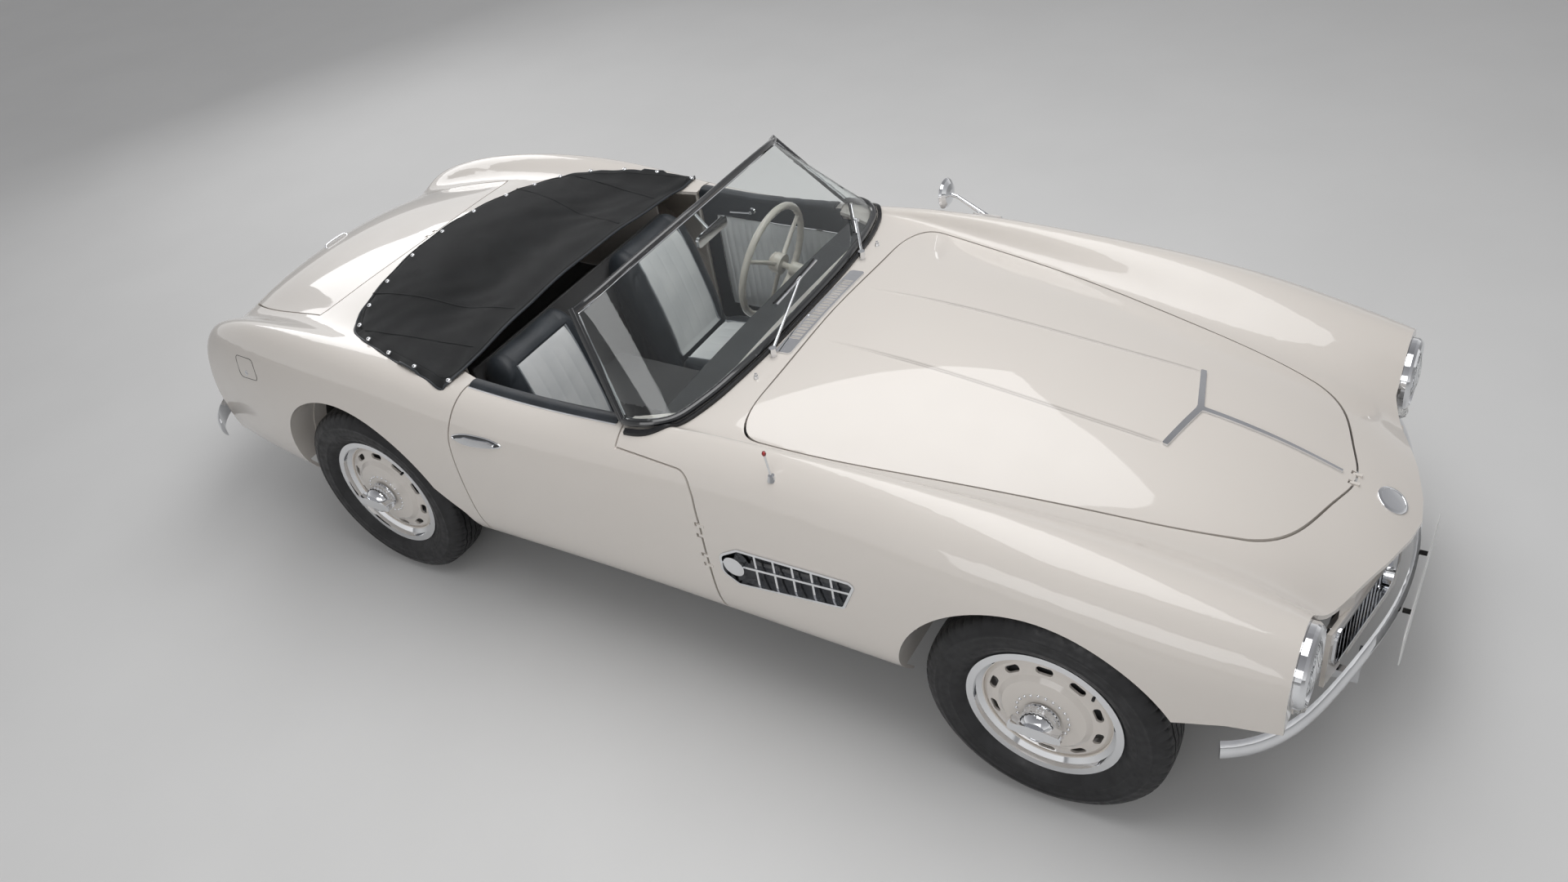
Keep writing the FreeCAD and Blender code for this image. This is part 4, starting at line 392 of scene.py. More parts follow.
NODE_LOOKS = {
    PAINT: ("front_body", "rear_body", "bonnet", "boot_lid"),
    DOOR_PAINT: ("door_left", "door_right"),
    CARPET: ("floor_tub",),
    FRAME_BLACK: ("chassis_frame",),
    ALUMINIUM: ("engine_block",),
    IRON: ("driveline", "front_suspension", "rear_axle", "knuckle_left", "knuckle_right"),
    STEEL: ("exhaust", "controls"),
    CHROME: ("nose_trim", "front_bumper", "rear_bumper", "vents", "bonnet_trim", "door_handle_left",
             "door_handle_right", "wipers", "wing_fittings"),
    HEADLAMP: ("headlamp_lenses",),
    LAMP_CLEAR: ("turn_lamps",),
    LAMP_RED: ("tail_lamps",),
    SCREEN_FRAME: ("windscreen_frame",),
    GLASS: ("windscreen_glass",),
    RUBBER: ("windscreen_seal",),
    DASH: ("dashboard",),
    IVORY_PLASTIC: ("steering_column", "steering_wheel"),
    LEATHER_BLACK: ("seat_left", "seat_right"),
    CLOTH: ("top_cover",),
    WHEEL_LOOKS["front"]: ("wheel_front_left", "wheel_front_right"),
    WHEEL_LOOKS["rear"]: ("wheel_rear_left", "wheel_rear_right"),
    TYRE: ("tyre_front_left", "tyre_front_right", "tyre_rear_left", "tyre_rear_right"),
}


def take_slot(look, slot=None):
    """Looks up the record's material slot of a finish, or takes the one given, and does nothing with it."""
    slot = slot or FINISH_SLOTS[look]


def dress_nodes():
    """Gives each CAD node its finish."""
    for look, names in NODE_LOOKS.items():
        for name in names:
            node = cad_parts[name]
            node.data.materials.clear()
            node.data.materials.append(look)
            take_slot(look, NODE_SLOTS.get(name))


# Mesh kit

SIDES = (("left", 1), ("right", -1))


def new_piece(name, points, faces, look, body, slot=None, smooth=True, weld=False, shares=None):
    """A mesh piece that rides on a body; look may be several finishes, and shares gives each face its own."""
    looks = look if isinstance(look, (list, tuple)) else [look]
    mesh = bpy.data.meshes.new(name)
    mesh.from_pydata([tuple(p) for p in points], [], faces)
    work = bmesh.new()
    work.from_mesh(mesh)
    if weld:
        bmesh.ops.remove_doubles(work, verts=work.verts, dist=1e-6)
    bmesh.ops.recalc_face_normals(work, faces=work.faces)
    work.to_mesh(mesh)
    work.free()
    for one in looks:
        mesh.materials.append(one)
    if shares:
        mesh.polygons.foreach_set("material_index", shares)
    mesh.polygons.foreach_set("use_smooth", [smooth] * len(mesh.polygons))
    if smooth:
        mesh.set_sharp_from_angle(angle=math.radians(42.0))
    piece = bpy.data.objects.new(name, mesh)
    bpy.context.scene.collection.objects.link(piece)
    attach(piece, body)
    take_slot(looks[0], slot)
    return piece


def grid(rows, cols, wrap_rows=False, wrap_cols=False):
    faces = []
    for i in range(rows if wrap_rows else rows - 1):
        for j in range(cols if wrap_cols else cols - 1):
            k, n = (i + 1) % rows, (j + 1) % cols
            faces.append((i * cols + j, i * cols + n, k * cols + n, k * cols + j))
    return faces


def ends(rows, cols):
    """Faces that close the first and the last row of a wrapped grid."""
    return [tuple(range(cols)), tuple(range((rows - 1) * cols, rows * cols))]


def joined(parts):
    """Points and faces of several meshes in one."""
    points, faces = [], []
    for more, some in parts:
        shift = len(points)
        points += more
        faces += [tuple(i + shift for i in face) for face in some]
    return points, faces


def turned(profile, centre, axis, count):
    """Points and faces of a solid of revolution; the profile is (radius, distance along the axis) pairs."""
    axis = Vector(axis).normalized()
    across = axis.orthogonal().normalized()
    other = axis.cross(across)
    points = []
    for i in range(count):
        a = 2 * math.pi * i / count
        out = across * math.cos(a) + other * math.sin(a)
        points += [Vector(centre) + out * r + axis * d for r, d in profile]
    return points, grid(count, len(profile), wrap_rows=True)


def swept(path, radius, sides=10, closed=False, flat=1.0):
    """Points and faces of a round or flattened bar along a path; flat squashes it across the path."""
    path = [Vector(p) for p in path]
    n = len(path)
    points = []
    across = None
    for i, p in enumerate(path):
        ahead = path[(i + 1) % n] if closed or i < n - 1 else p
        behind = path[i - 1] if closed or i > 0 else p
        t = (ahead - behind).normalized()
        if across is None:
            across = t.cross(Vector((0, 0, 1)) if abs(t.z) < 0.9 else Vector((1, 0, 0))).normalized()
        across = (across - t * across.dot(t)).normalized()
        up = t.cross(across)
        for k in range(sides):
            a = 2 * math.pi * k / sides
            points.append(p + across * (radius * math.cos(a)) + up * (radius * flat * math.sin(a)))
    faces = grid(n, sides, wrap_rows=closed, wrap_cols=True)
    if not closed:
        faces += ends(n, sides)
    return points, faces


def smooth_path(corners, count, closed=False):
    """A smooth run of points through the corners."""
    pts = [Vector(c) for c in corners]
    n = len(pts)
    spans = n if closed else n - 1
    out = []
    for k in range(count if closed else count + 1):
        at = spans * k / count
        i = min(int(at), spans - 1)
        t = at - i
        if closed:
            a, b, c, d = pts[i - 1], pts[i], pts[(i + 1) % n], pts[(i + 2) % n]
        else:
            a, b, c, d = pts[max(i - 1, 0)], pts[i], pts[i + 1], pts[min(i + 2, n - 1)]
        out.append(0.5 * (2 * b + (c - a) * t + (2 * a - 5 * b + 4 * c - d) * t ** 2
                          + (3 * b - a - 3 * c + d) * t ** 3))
    return out


def rounded_loop(corners, radius, arc=6):
    """Points round a closed flat outline whose corners are rounded."""
    loop = []
    for k, corner in enumerate(corners):
        here = Vector(corner)
        back = (Vector(corners[k - 1]) - here).normalized()
        ahead = (Vector(corners[(k + 1) % len(corners)]) - here).normalized()
        for i in range(arc + 1):
            t = i / arc
            loop.append(here + back * (radius * (1 - t) ** 2) + ahead * (radius * t ** 2))
    return loop


def slab(low, high, e):
    """Points and faces of a block whose edges are bevelled by e."""
    (x0, y0, z0), (x1, y1, z1) = low, high
    rings = []
    for z, inset in ((z0, e), (z0 + e, 0.0), (z1 - e, 0.0), (z1, e)):
        rings += [(x0 + inset, y0 + inset, z), (x1 - inset, y0 + inset, z), (x1 - inset, y1 - inset, z),
                  (x0 + inset, y1 - inset, z)]
    return [Vector(p) for p in rings], grid(4, 4, wrap_cols=True) + ends(4, 4)


class Skin:
    """The surface of some CAD nodes, for laying pieces on it."""

    def __init__(self, *names):
        points, faces = [], []
        for name in names:
            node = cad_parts[name]
            shift = len(points)
            points += [node.matrix_world @ v.co for v in node.data.vertices]
            faces += [tuple(i + shift for i in face.vertices) for face in node.data.polygons]
        self.tree = BVHTree.FromPolygons(points, faces)

    def hit(self, start, direction):
        place, normal, face, reach = self.tree.ray_cast(Vector(start), Vector(direction))
        return (place, normal) if place else (None, None)

    def top(self, x, y):
        place = self.hit((x, y, 2.0), (0, 0, -1))[0]
        return place.z if place else None

    def flank(self, x, z, side):
        return self.hit((x, side * 2.0, z), (0, -side, 0))


# Running gear

AXLE_FRONT_X = 1.400
AXLE_REAR_X = -1.080
WHEELS = {"front_left": (AXLE_FRONT_X, 0.7225, 1), "front_right": (AXLE_FRONT_X, -0.7225, -1),
          "rear_left": (AXLE_REAR_X, 0.7125, 1), "rear_right": (AXLE_REAR_X, -0.7125, -1)}
TYRE_RADIUS = 0.345
TREAD_SEGMENTS = 384
TREAD_GROOVES = (-33.0, -11.5, 11.5, 33.0)
GROOVE_DEPTH = 6.5
GROOVE_HALF = 2.0

# Hub: studs on the disc, and the nut's barrel as (radius, distance out from the wheel's middle)
STUD_COUNT = 22
STUD_CIRCLE = 0.0740
BARREL = [(0.0300, 0.0640), (0.0490, 0.0640), (0.0520, 0.0670), (0.0520, 0.0700), (0.0495, 0.0730),
          (0.0505, 0.0760), (0.0505, 0.0960), (0.0480, 0.1060), (0.0420, 0.1150), (0.0360, 0.1205),
          (0.0335, 0.1205), (0.0330, 0.1190), (0.0, 0.1190)]
KNURL = (5, 6)


# Half of the tyre's section from bead to crown, and the inside of the whole, in mm: radius and distance out
TYRE_WALL = [(204.0, 53.5), (212.0, 54.5), (221.5, 54.5), (228.0, 60.0), (238.0, 69.5), (250.0, 75.5),
             (257.0, 77.6), (258.5, 78.9), (262.0, 79.3), (263.5, 78.7), (275.0, 81.6), (288.0, 81.4),
             (296.0, 80.4), (297.5, 81.3), (303.0, 80.5), (304.5, 79.0), (315.0, 74.6), (325.0, 68.8),
             (333.0, 62.6), (338.0, 57.0)]
TYRE_INSIDE = [(204.0, 40.0), (222.0, 48.0), (262.0, 64.0), (305.0, 56.0), (325.0, 26.0), (325.0, -26.0),
               (305.0, -56.0), (262.0, -64.0), (222.0, -48.0), (204.0, -40.0)]


def crown(d):
    return 345.0 - 5.2 * (abs(d) / 57.0) ** 2.6 - 0.25


def tyre_points(name):
    x, y, side = WHEELS[name]
    across = sorted({s * v for v in (53.0, 48.5, 44.0, 39.5, 22.0, 4.5) for s in (-1, 1)}
                    | {g + s * e for g in TREAD_GROOVES for e in (GROOVE_HALF, GROOVE_HALF + 0.5)
                       for s in (-1, 1)})
    outer = [(r, -d, "wall") for r, d in TYRE_WALL] + [(crown(d), d, "tread") for d in across]
    outer += [(r, d, "wall") for r, d in reversed(TYRE_WALL)]
    ring = outer + [(r, d, "inside") for r, d in TYRE_INSIDE]
    points = []
    for j in range(TREAD_SEGMENTS):
        a = 2 * math.pi * j / TREAD_SEGMENTS
        zigzag = 2.4 * (abs((j % 12) - 6) / 3.0 - 1.0)
        for r, d, kind in ring:
            if kind == "tread":
                near = min(TREAD_GROOVES, key=lambda g: abs(g - d))
                if abs(d - near) <= GROOVE_HALF + 0.6:
                    r = r - GROOVE_DEPTH if abs(d - near) <= GROOVE_HALF else r
                    d += zigzag * (1 if near > 0 else -1)
                elif abs(d) > 43.0 and j % 6 == 0:
                    r -= 4.0
                elif 15.0 < abs(d) < 30.0 and j % 6 == 3:
                    r -= 2.5
            elif kind == "wall" and r > 330.0 and j % 6 == 0:
                r -= 3.0
            points.append(Vector((x + r * math.cos(a) / 1000.0, y + side * d / 1000.0,
                                  TYRE_RADIUS + r * math.sin(a) / 1000.0)))
    return points, grid(TREAD_SEGMENTS, len(ring), wrap_rows=True, wrap_cols=True)


def tyres():
    for name in WHEELS:
        points, faces = tyre_points(name)
        piece = new_piece("tread_tyre_" + name, points, faces, TYRE, "wheel_" + name)
        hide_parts("tyre_" + name)


def wheel_fittings():
    """The valve through the disc, a ring of small studs round the hub, and the nut's knurled barrel."""
    for name, (x, y, side) in WHEELS.items():
        parts = [swept([(x + 0.135, y + side * 0.030, TYRE_RADIUS + 0.128),
                        (x + 0.138, y + side * 0.058, TYRE_RADIUS + 0.131)], 0.0035)]
        parts.append(turned([(0.0, 0.0), (0.0045, 0.0), (0.0045, 0.009), (0.0, 0.011)],
                            (x + 0.138, y + side * 0.056, TYRE_RADIUS + 0.131), (0.1, side, 0.1), 12))
        new_piece("valve_" + name, *joined(parts), RUBBER, "wheel_" + name, weld=True)
        studs = []
        for k in range(STUD_COUNT):
            a = 2 * math.pi * k / STUD_COUNT
            spot = (x + STUD_CIRCLE * math.cos(a), y + side * 0.0590, TYRE_RADIUS + STUD_CIRCLE * math.sin(a))
            studs.append(turned([(0.0048, 0.0), (0.0044, 0.0030), (0.0026, 0.0045), (0.0, 0.0050)], spot,
                                (0, side, 0), 12))
        new_piece("hub_studs_" + name, *joined(studs), WHEEL_LOOKS[name.split("_")[0]], "wheel_" + name,
                  weld=True)
        points, faces = turned(BARREL, (x, y, TYRE_RADIUS), (0, side, 0), 96)
        knurled = []
        for k, p in enumerate(points):
            step = k % len(BARREL)
            out = Vector((p.x - x, 0.0, p.z - TYRE_RADIUS))
            deep = 0.975 if KNURL[0] <= step <= KNURL[1] and (k // len(BARREL)) % 4 < 2 else 1.0
            knurled.append(Vector((x + out.x * deep, p.y, TYRE_RADIUS + out.z * deep)))
        new_piece("nut_barrel_" + name, knurled, faces, CHROME, "wheel_" + name, weld=True)


# Wheel housings: end, centre forward and up, radius, inner and outer reach, first and last angle
HOUSINGS = (("front", 1.378, 0.330, 0.3945, 0.4415, 0.700, 14.0, 166.0),
            ("rear", -1.100, 0.372, 0.3885, 0.5615, 0.690, 8.0, 172.0))
HOUSING_STEPS = 40


def wheel_housings():
    """Pieces lining each wheel housing, near-black deep inside and body colour near the lip."""
    for end, x, z, radius, y0, y1, a0, a1 in HOUSINGS:
        for word, side in SIDES:
            points = []
            for i in range(HOUSING_STEPS + 1):
                a = math.radians(a0 + (a1 - a0) * i / HOUSING_STEPS)
                for r, y in ((0.02, y0), (radius - 0.01, y0), (radius, y0 + 0.008), (radius, 0.5 * (y0 + y1)),
                             (radius, y1),
                             (radius - 0.002, y1), (radius - 0.002, y0 + 0.010), (0.02, y0 + 0.002)):
                    points.append(Vector((x + r * math.cos(a), side * y, z + r * math.sin(a))))
            new_piece("housing_%s_%s" % (end, word), points, grid(HOUSING_STEPS + 1, 8, wrap_cols=True), LINER,
                      "car")


# Seats

SEAT_MIDDLE = 0.343
SEAT_HALF = 0.200
PANEL_SHARE = 0.64
PLEATS = 5
SEAT_ROUND = 120
SEAT_WIDE = 132
SEAT_BACK = [(-428, 420), (-450, 540), (-490, 690), (-522, 790), (-548, 842), (-598, 864), (-640, 842),
             (-652, 785), (-640, 650), (-625, 470), (-606, 335), (-520, 320), (-440, 332), (-422, 372)]
SEAT_CUSHION = [(52, 318), (84, 380), (82, 440), (44, 468), (-60, 466), (-200, 452), (-330, 440), (-405, 428),
                (-414, 370), (-395, 312), (-200, 303), (-20, 303)]


# Seat part, its section, and the shares of the way round between which it is pleated
SEAT_PARTS = (("back", SEAT_BACK, 0.012, 0.262), ("cushion", SEAT_CUSHION, 0.255, 0.575))


def section_frame(section, count):
    """Even points round a closed seat section with their outward normals."""
    run = smooth_path([Vector((x, 0.0, z)) for x, z in section], count, closed=True)
    middle = sum(run, Vector()) / len(run)
    normals = []
    for i, p in enumerate(run):
        t = (run[(i + 1) % len(run)] - run[i - 1]).normalized()
        n = Vector((t.z, 0.0, -t.x))
        normals.append(n if n.dot(p - middle) > 0 else -n)
    return run, normals, middle


def seat_height(u, inside):
    """How far the cover stands off the section: sewn pleats in the panel, a full roll outside it."""
    reach = abs(u)
    if inside > 0.0 and reach < PANEL_SHARE:
        ridge = abs(math.sin(math.pi * PLEATS * (u + PANEL_SHARE) / (2 * PANEL_SHARE))) ** 0.45
        edge = min(1.0, inside * 6.0)
        return -7.0 + (4.0 + 7.0 * ridge) * edge
    seam = math.exp(-((reach - PANEL_SHARE - 0.02) / 0.028) ** 2) if inside > 0.0 else 0.0
    roll = 6.0 * math.sin(math.pi * min(1.0, max(0.0, (reach - PANEL_SHARE) / (1.0 - PANEL_SHARE))))
    return roll - 6.0 * seam


def padded_form(section, first, last, side):
    """A padded form: a section drawn across the car, closed at its ends; first and last bound the pleats."""
    count, wide = SEAT_ROUND, SEAT_WIDE
    run, normals, middle = section_frame(section, count)
    points, white = [], []
    for i in range(wide + 1):
        u = -1.0 + 2.0 * i / wide
        close = (1.0 - abs(u) ** 9.0) ** (1.0 / 3.0)
        pull = 0.18 + 0.82 * close if abs(u) < 1.0 else 0.18
        for k in range(count):
            share = k / count
            inside = min(share - first, last - share)
            lift = seat_height(u, inside) * min(1.0, close * 1.5)
            p = middle + (run[k] - middle) * pull + normals[k] * lift
            y = SEAT_MIDDLE + u * SEAT_HALF * (1.0 - 0.012 * math.sin(2 * math.pi * share) ** 2)
            points.append(Vector((p.x / 1000.0, side * y, p.z / 1000.0)))
    faces = grid(wide + 1, count, wrap_cols=True)
    for i in range(wide):
        u = -1.0 + 2.0 * (i + 0.5) / wide
        for k in range(count):
            share = (k + 0.5) / count
            white.append(1 if first < share < last and abs(u) < PANEL_SHARE else 0)
    faces += ends(wide + 1, count)
    white += [0, 0]
    piping = []
    for part in (-1, 1):
        column = round((part * (PANEL_SHARE + 0.012) + 1.0) * wide / 2)
        ks = [k for k in range(count) if first - 0.004 < k / count < last + 0.004]
        line = [points[column * count + k] + normals[k] * 0.0035 for k in ks]
        piping.append(swept(line, 0.0032, 8))
    return points, faces, white, piping


def settled(piece, limit):
    """Lets a padded piece fill out as sewn stuffing does, and keeps how far it moves below the limit."""
    before = [v.co.copy() for v in piece.data.vertices]
    cloth = piece.modifiers.new("cloth", "CLOTH")
    settings = cloth.settings
    settings.use_pressure = True
    settings.uniform_pressure_force = 3.0
    settings.effector_weights.gravity = 0.0
    settings.quality = 4
    settings.mass = 0.25
    cloth.point_cache.frame_start, cloth.point_cache.frame_end = 1, 12
    for f in range(1, 13):
        bpy.context.scene.frame_set(f)
    graph = bpy.context.evaluated_depsgraph_get()
    moved = piece.evaluated_get(graph).to_mesh()
    after = [v.co.copy() for v in moved.vertices]
    piece.evaluated_get(graph).to_mesh_clear()
    piece.modifiers.remove(cloth)
    for vertex, a, b in zip(piece.data.vertices, before, after):
        step = b - a
        vertex.co = a + step * min(1.0, limit / max(step.length, 1e-9))
    bpy.context.scene.frame_set(1)


def seats():
    for word, side in SIDES:
        for part, section, first, last in SEAT_PARTS:
            points, faces, white, piping = padded_form(section, first, last, side)
            piece = new_piece("seat_%s_%s" % (part, word), points, faces, [LEATHER_BLACK, LEATHER_WHITE],
                              "car", "leather_white", shares=white)
            settled(piece, 0.004)
            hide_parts("seat_" + word)
            new_piece("piping_%s_%s" % (part, word), *joined(piping), PIPING, "car")
        y = side * (SEAT_MIDDLE + SEAT_HALF + 0.012)
        bar = smooth_path([(-0.600, y, 0.36), (-0.628, y, 0.50), (-0.632, y, 0.62), (-0.612, y, 0.66)], 20)
        new_piece("seat_hinge_" + word, *swept(bar, 0.006), CHROME, "car")


# Soft cover behind the seats

COVER_EDGE = [(-604, 724), (-700, 716), (-852, 690), (-980, 655), (-1084, 622), (-1166, 580), (-1226, 490),
              (-1262, 360), (-1292, 190), (-1302, 0)]
COVER_RINGS = 34
COVER_STEPS = 240
COVER_THICK = 0.0022
COVER_FRONT = [(-612, -560), (-620, -300), (-622, 0), (-620, 300), (-612, 560)]
COVER_MIDDLE = Vector((-0.90, 0.0, 0.0))
COVER_INSET = 0.994
COVER_SEAMS = (((-0.66, -0.30), (-1.24, -0.40)), ((-0.66, 0.30), (-1.24, 0.40)),
               ((-0.66, -0.52), (-1.10, -0.58)), ((-0.66, 0.52), (-1.10, 0.58)))
COVER_STUDS = [(-604, 700), (-760, 690), (-900, 664), (-1040, 622), (-1150, 560), (-1200, 460), (-1232, 330),
               (-1256, 170)]
STUD_PROFILE = [(0.0085, -0.003), (0.0085, 0.003), (0.006, 0.0058), (0.0, 0.0068)]
HEM_SHARE = 0.955


def cover_outline():
    left = [Vector((x, y, 0.0)) for x, y in COVER_EDGE]
    right = [Vector((p.x, -p.y, 0.0)) for p in reversed(left[:-1])]
    front = [Vector((x, y, 0.0)) for x, y in COVER_FRONT]
    return [p / 1000.0 for p in smooth_path(left + right + front, COVER_STEPS, closed=True)]


def cover_height(skin, x, y, share, angle):
    """Height of the cloth: on the solids' curve, slack behind the seats, drawn tight towards its fasteners."""
    top = skin.top(x, y)
    if top is None:
        return None
    middle = math.exp(-((x + 0.86) / 0.15) ** 2) * max(0.0, 1.0 - (abs(y) / 0.56) ** 4)
    sag = -0.040 * middle - 0.010 * math.exp(-((x + 0.66) / 0.06) ** 2) * max(0.0, 1.0 - (abs(y) / 0.6) ** 4)
    creases = 0.0016 * math.sin(46.0 * x + 7.0 * math.sin(9.0 * y)) * middle
    creases += 0.0011 * math.sin(31.0 * (x - 0.6 * abs(y)) + 1.3) * (1.0 - share ** 4)
    pull = 0.0018 * share ** 6 * math.cos(22.0 * angle)
    return top + sag + creases + pull


def soft_cover():
    skin = Skin("top_cover", "rear_body", "front_body", "door_left", "door_right")
    outline = cover_outline()
    rings = []
    for i in range(COVER_RINGS + 1):
        share = i / COVER_RINGS
        line = []
        for k, edge in enumerate(outline):
            spot = COVER_MIDDLE.lerp(edge, share * COVER_INSET)
            height = cover_height(skin, spot.x, spot.y, share, 2 * math.pi * k / len(outline))
            line.append(Vector((spot.x, spot.y, height if height is not None else 0.90)))
        rings.append(line)
    top = [p + Vector((0, 0, COVER_THICK)) for line in rings for p in line]
    under = [p - Vector((0, 0, COVER_THICK)) for line in reversed(rings) for p in line]
    rows = 2 * (COVER_RINGS + 1)
    cover = new_piece("hood_cover", top + under, grid(rows, len(outline), wrap_cols=True), CLOTH, "car",
                      weld=True)
    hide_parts("top_cover")
    seams = []
    for start, end in COVER_SEAMS:
        line = []
        for i in range(41):
            t = i / 40
            x, y = start[0] + (end[0] - start[0]) * t, start[1] + (end[1] - start[1]) * t
            share = min(1.0, max(abs(y) / 0.70, abs(x + 0.90) / 0.36))
            line.append(Vector((x, y, cover_height(skin, x, y, share, 0.0) + COVER_THICK)))
        seams.append(swept(line, 0.0035, 8, flat=0.5))
    hem = []
    for k, edge in enumerate(outline):
        spot = COVER_MIDDLE.lerp(edge, HEM_SHARE * COVER_INSET)
        height = cover_height(skin, spot.x, spot.y, HEM_SHARE, 2 * math.pi * k / len(outline))
        hem.append(Vector((spot.x, spot.y, height + COVER_THICK)))
    seams.append(swept(hem, 0.0022, 6, closed=True, flat=0.5))
    stitched = new_piece("hood_cover_seams", *joined(seams), CLOTH, "car")
    edge = new_piece("hood_cover_binding", *swept(rings[-1], 0.0042, 8, closed=True), LEATHER_BLACK, "car")
    snaps = []
    for x, y in COVER_STUDS:
        for side in (-1, 1):
            place, normal = skin.hit((x / 1000.0, side * y / 1000.0, 2.0), (0, 0, -1))
            snaps.append(turned(STUD_PROFILE, place + normal * COVER_THICK, normal, 16))
    snaps.append(turned(STUD_PROFILE, (-1.262, 0.0, skin.top(-1.262, 0.0) + COVER_THICK), (0, 0, 1), 16))
    studs = new_piece("hood_cover_studs", *joined(snaps), CHROME, "car", weld=True)


# Doors

# The pale card inside each door, and the section of the padded roll along its top as (distance out, rise)
DOOR_CARD = (-0.470, 0.250, 0.400, 0.800)
DOOR_ROLL = ((0.6460, -0.014), (0.6440, 0.004), (0.6480, 0.0110), (0.6600, 0.0130), (0.6760, 0.0105),
             (0.6860, 0.0040), (0.6870, 0.0005))


def door_trim():
    for word, side in SIDES:
        body = "door_" + word
        skin = Skin(body)
        rows, cols = 18, 150
        points = []
        x0, x1, z0, z1 = DOOR_CARD
        for i in range(rows + 1):
            v = i / rows
            for j in range(cols + 1):
                u = j / cols
                x = x0 + (x1 - x0) * u
                pleat = abs(math.sin(math.pi * 24 * u)) ** 0.5
                rim = min(1.0, min(u, 1 - u) * 30, min(v, 1 - v) * 8)
                points.append(Vector((x, side * (0.6445 - (0.003 + 0.007 * pleat) * rim), z0 + (z1 - z0) * v)))
        new_piece("door_panel_" + word, points, grid(rows + 1, cols + 1), LEATHER_WHITE, body)
        frame_line = [(x0, z0), (x1, z0), (x1, z1), (x0, z1)]
        ring = []
        for k in range(4):
            (ax, az), (bx, bz) = frame_line[k], frame_line[(k + 1) % 4]
            ring += [Vector((ax + (bx - ax) * t / 10, side * 0.6425,
                             az + (bz - az) * t / 10)) for t in range(10)]
        new_piece("door_bead_" + word, *swept(ring, 0.003, 8, closed=True), CHROME, body)
        cap = []
        steps = 60
        for i in range(steps + 1):
            x = -0.532 + (0.060 + 0.532) * i / steps
            base = skin.top(x, side * 0.655)
            for y, up in DOOR_ROLL:
                here = skin.top(x, side * max(y, 0.650))
                cap.append(Vector((x, side * y, (here if here is not None else base) + up)))
        count = len(DOOR_ROLL)
        faces = grid(steps + 1, count) + ends(steps + 1, count)
        pad = new_piece("door_top_roll_" + word, cap, faces, LEATHER_BLACK, body)
        line = [Vector((cap[i * count + count - 1].x, side * 0.6895,
                        skin.top(cap[i * count].x, side * 0.6895) + 0.001)) for i in range(steps + 1)]
        new_piece("door_top_bead_" + word, *swept(line, 0.0032, 8), CHROME, body)
        knob = turned([(0.0, 0.0), (0.013, 0.0), (0.013, 0.004), (0.008, 0.008), (0.006, 0.022), (0.0, 0.022)],
                      (-0.30, side * 0.645, 0.84), (0, -side, 0), 20)
        lever = swept([(-0.30, side * 0.624, 0.84), (-0.36, side * 0.622, 0.835),
                       (-0.39, side * 0.624, 0.832)], 0.006, flat=0.6)
        new_piece("door_release_" + word, *joined([knob, lever]), CHROME, body, weld=True)


HANDLE_SHELL = [(-0.352, 0.777), (-0.405, 0.790), (-0.500, 0.788), (-0.553, 0.770), (-0.500, 0.753),
                (-0.405, 0.762)]


def door_shells():
    """A pointed recess round each door handle, drawn as a flat near-black sheet on the door skin as painted
    shade, with a chrome rim.
    """
    for word, side in SIDES:
        body = "door_" + word
        skin = Skin(body)
        rim, deep = [], []
        for spot in smooth_path([Vector((x, 0.0, z)) for x, z in HANDLE_SHELL], 72, closed=True):
            place, normal = skin.flank(spot.x, spot.z, side)
            rim.append(place + normal * 0.0010)
            deep.append(place + normal * 0.0006)
        middle = []
        for p in deep:
            place, normal = skin.flank(min(max(p.x, -0.54), -0.365), 0.7735, side)
            middle.append(place + normal * 0.0006)
        # A flat near-black sheet on the door skin stands in for the shaded hollow round the handle: painted
        # shade
        new_piece("handle_recess_" + word, deep + middle, grid(2, len(deep), wrap_cols=True), RECESS_PAINTED_SHADE,
                  body, weld=True)
        new_piece("handle_rim_" + word, *swept(rim, 0.0024, 8, closed=True), CHROME, body)


SCREEN_FOOT = Vector((0.0870, 0.6840, 0.9200))
SCREEN_HEAD = Vector((-0.1040, 0.5730, 1.1830))
SCREEN_TOP = [(-0.104, -0.573, 1.183), (-0.078, -0.520, 1.202), (-0.060, -0.360, 1.218), (-0.052, 0.0, 1.224),
              (-0.060, 0.360, 1.218), (-0.078, 0.520, 1.202), (-0.104, 0.573, 1.183)]


def screen_beads():
    """Chrome strips that hold the glass along the top and both ends of the windscreen."""
    beads = []
    for side in (-1, 1):
        line = []
        for i in range(21):
            t = 0.03 + 0.93 * i / 20
            p = SCREEN_FOOT.lerp(SCREEN_HEAD, t)
            line.append(Vector((p.x + 0.0085, side * (p.y - 0.0085), p.z + 0.0015)))
        beads.append(swept(line, 0.0030, 8))
    top = [p + Vector((0.0085, 0.0, -0.0085)) for p in smooth_path(SCREEN_TOP, 48)]
    beads.append(swept(top[2:-2], 0.0030, 8))
    new_piece("screen_beads", *joined(beads), CHROME, "car")


GRIP_CENTRE = Vector((-0.053, 0.370, 0.822))
GRIP_LEAN = 0.21
GRIP_RADIUS = 0.201


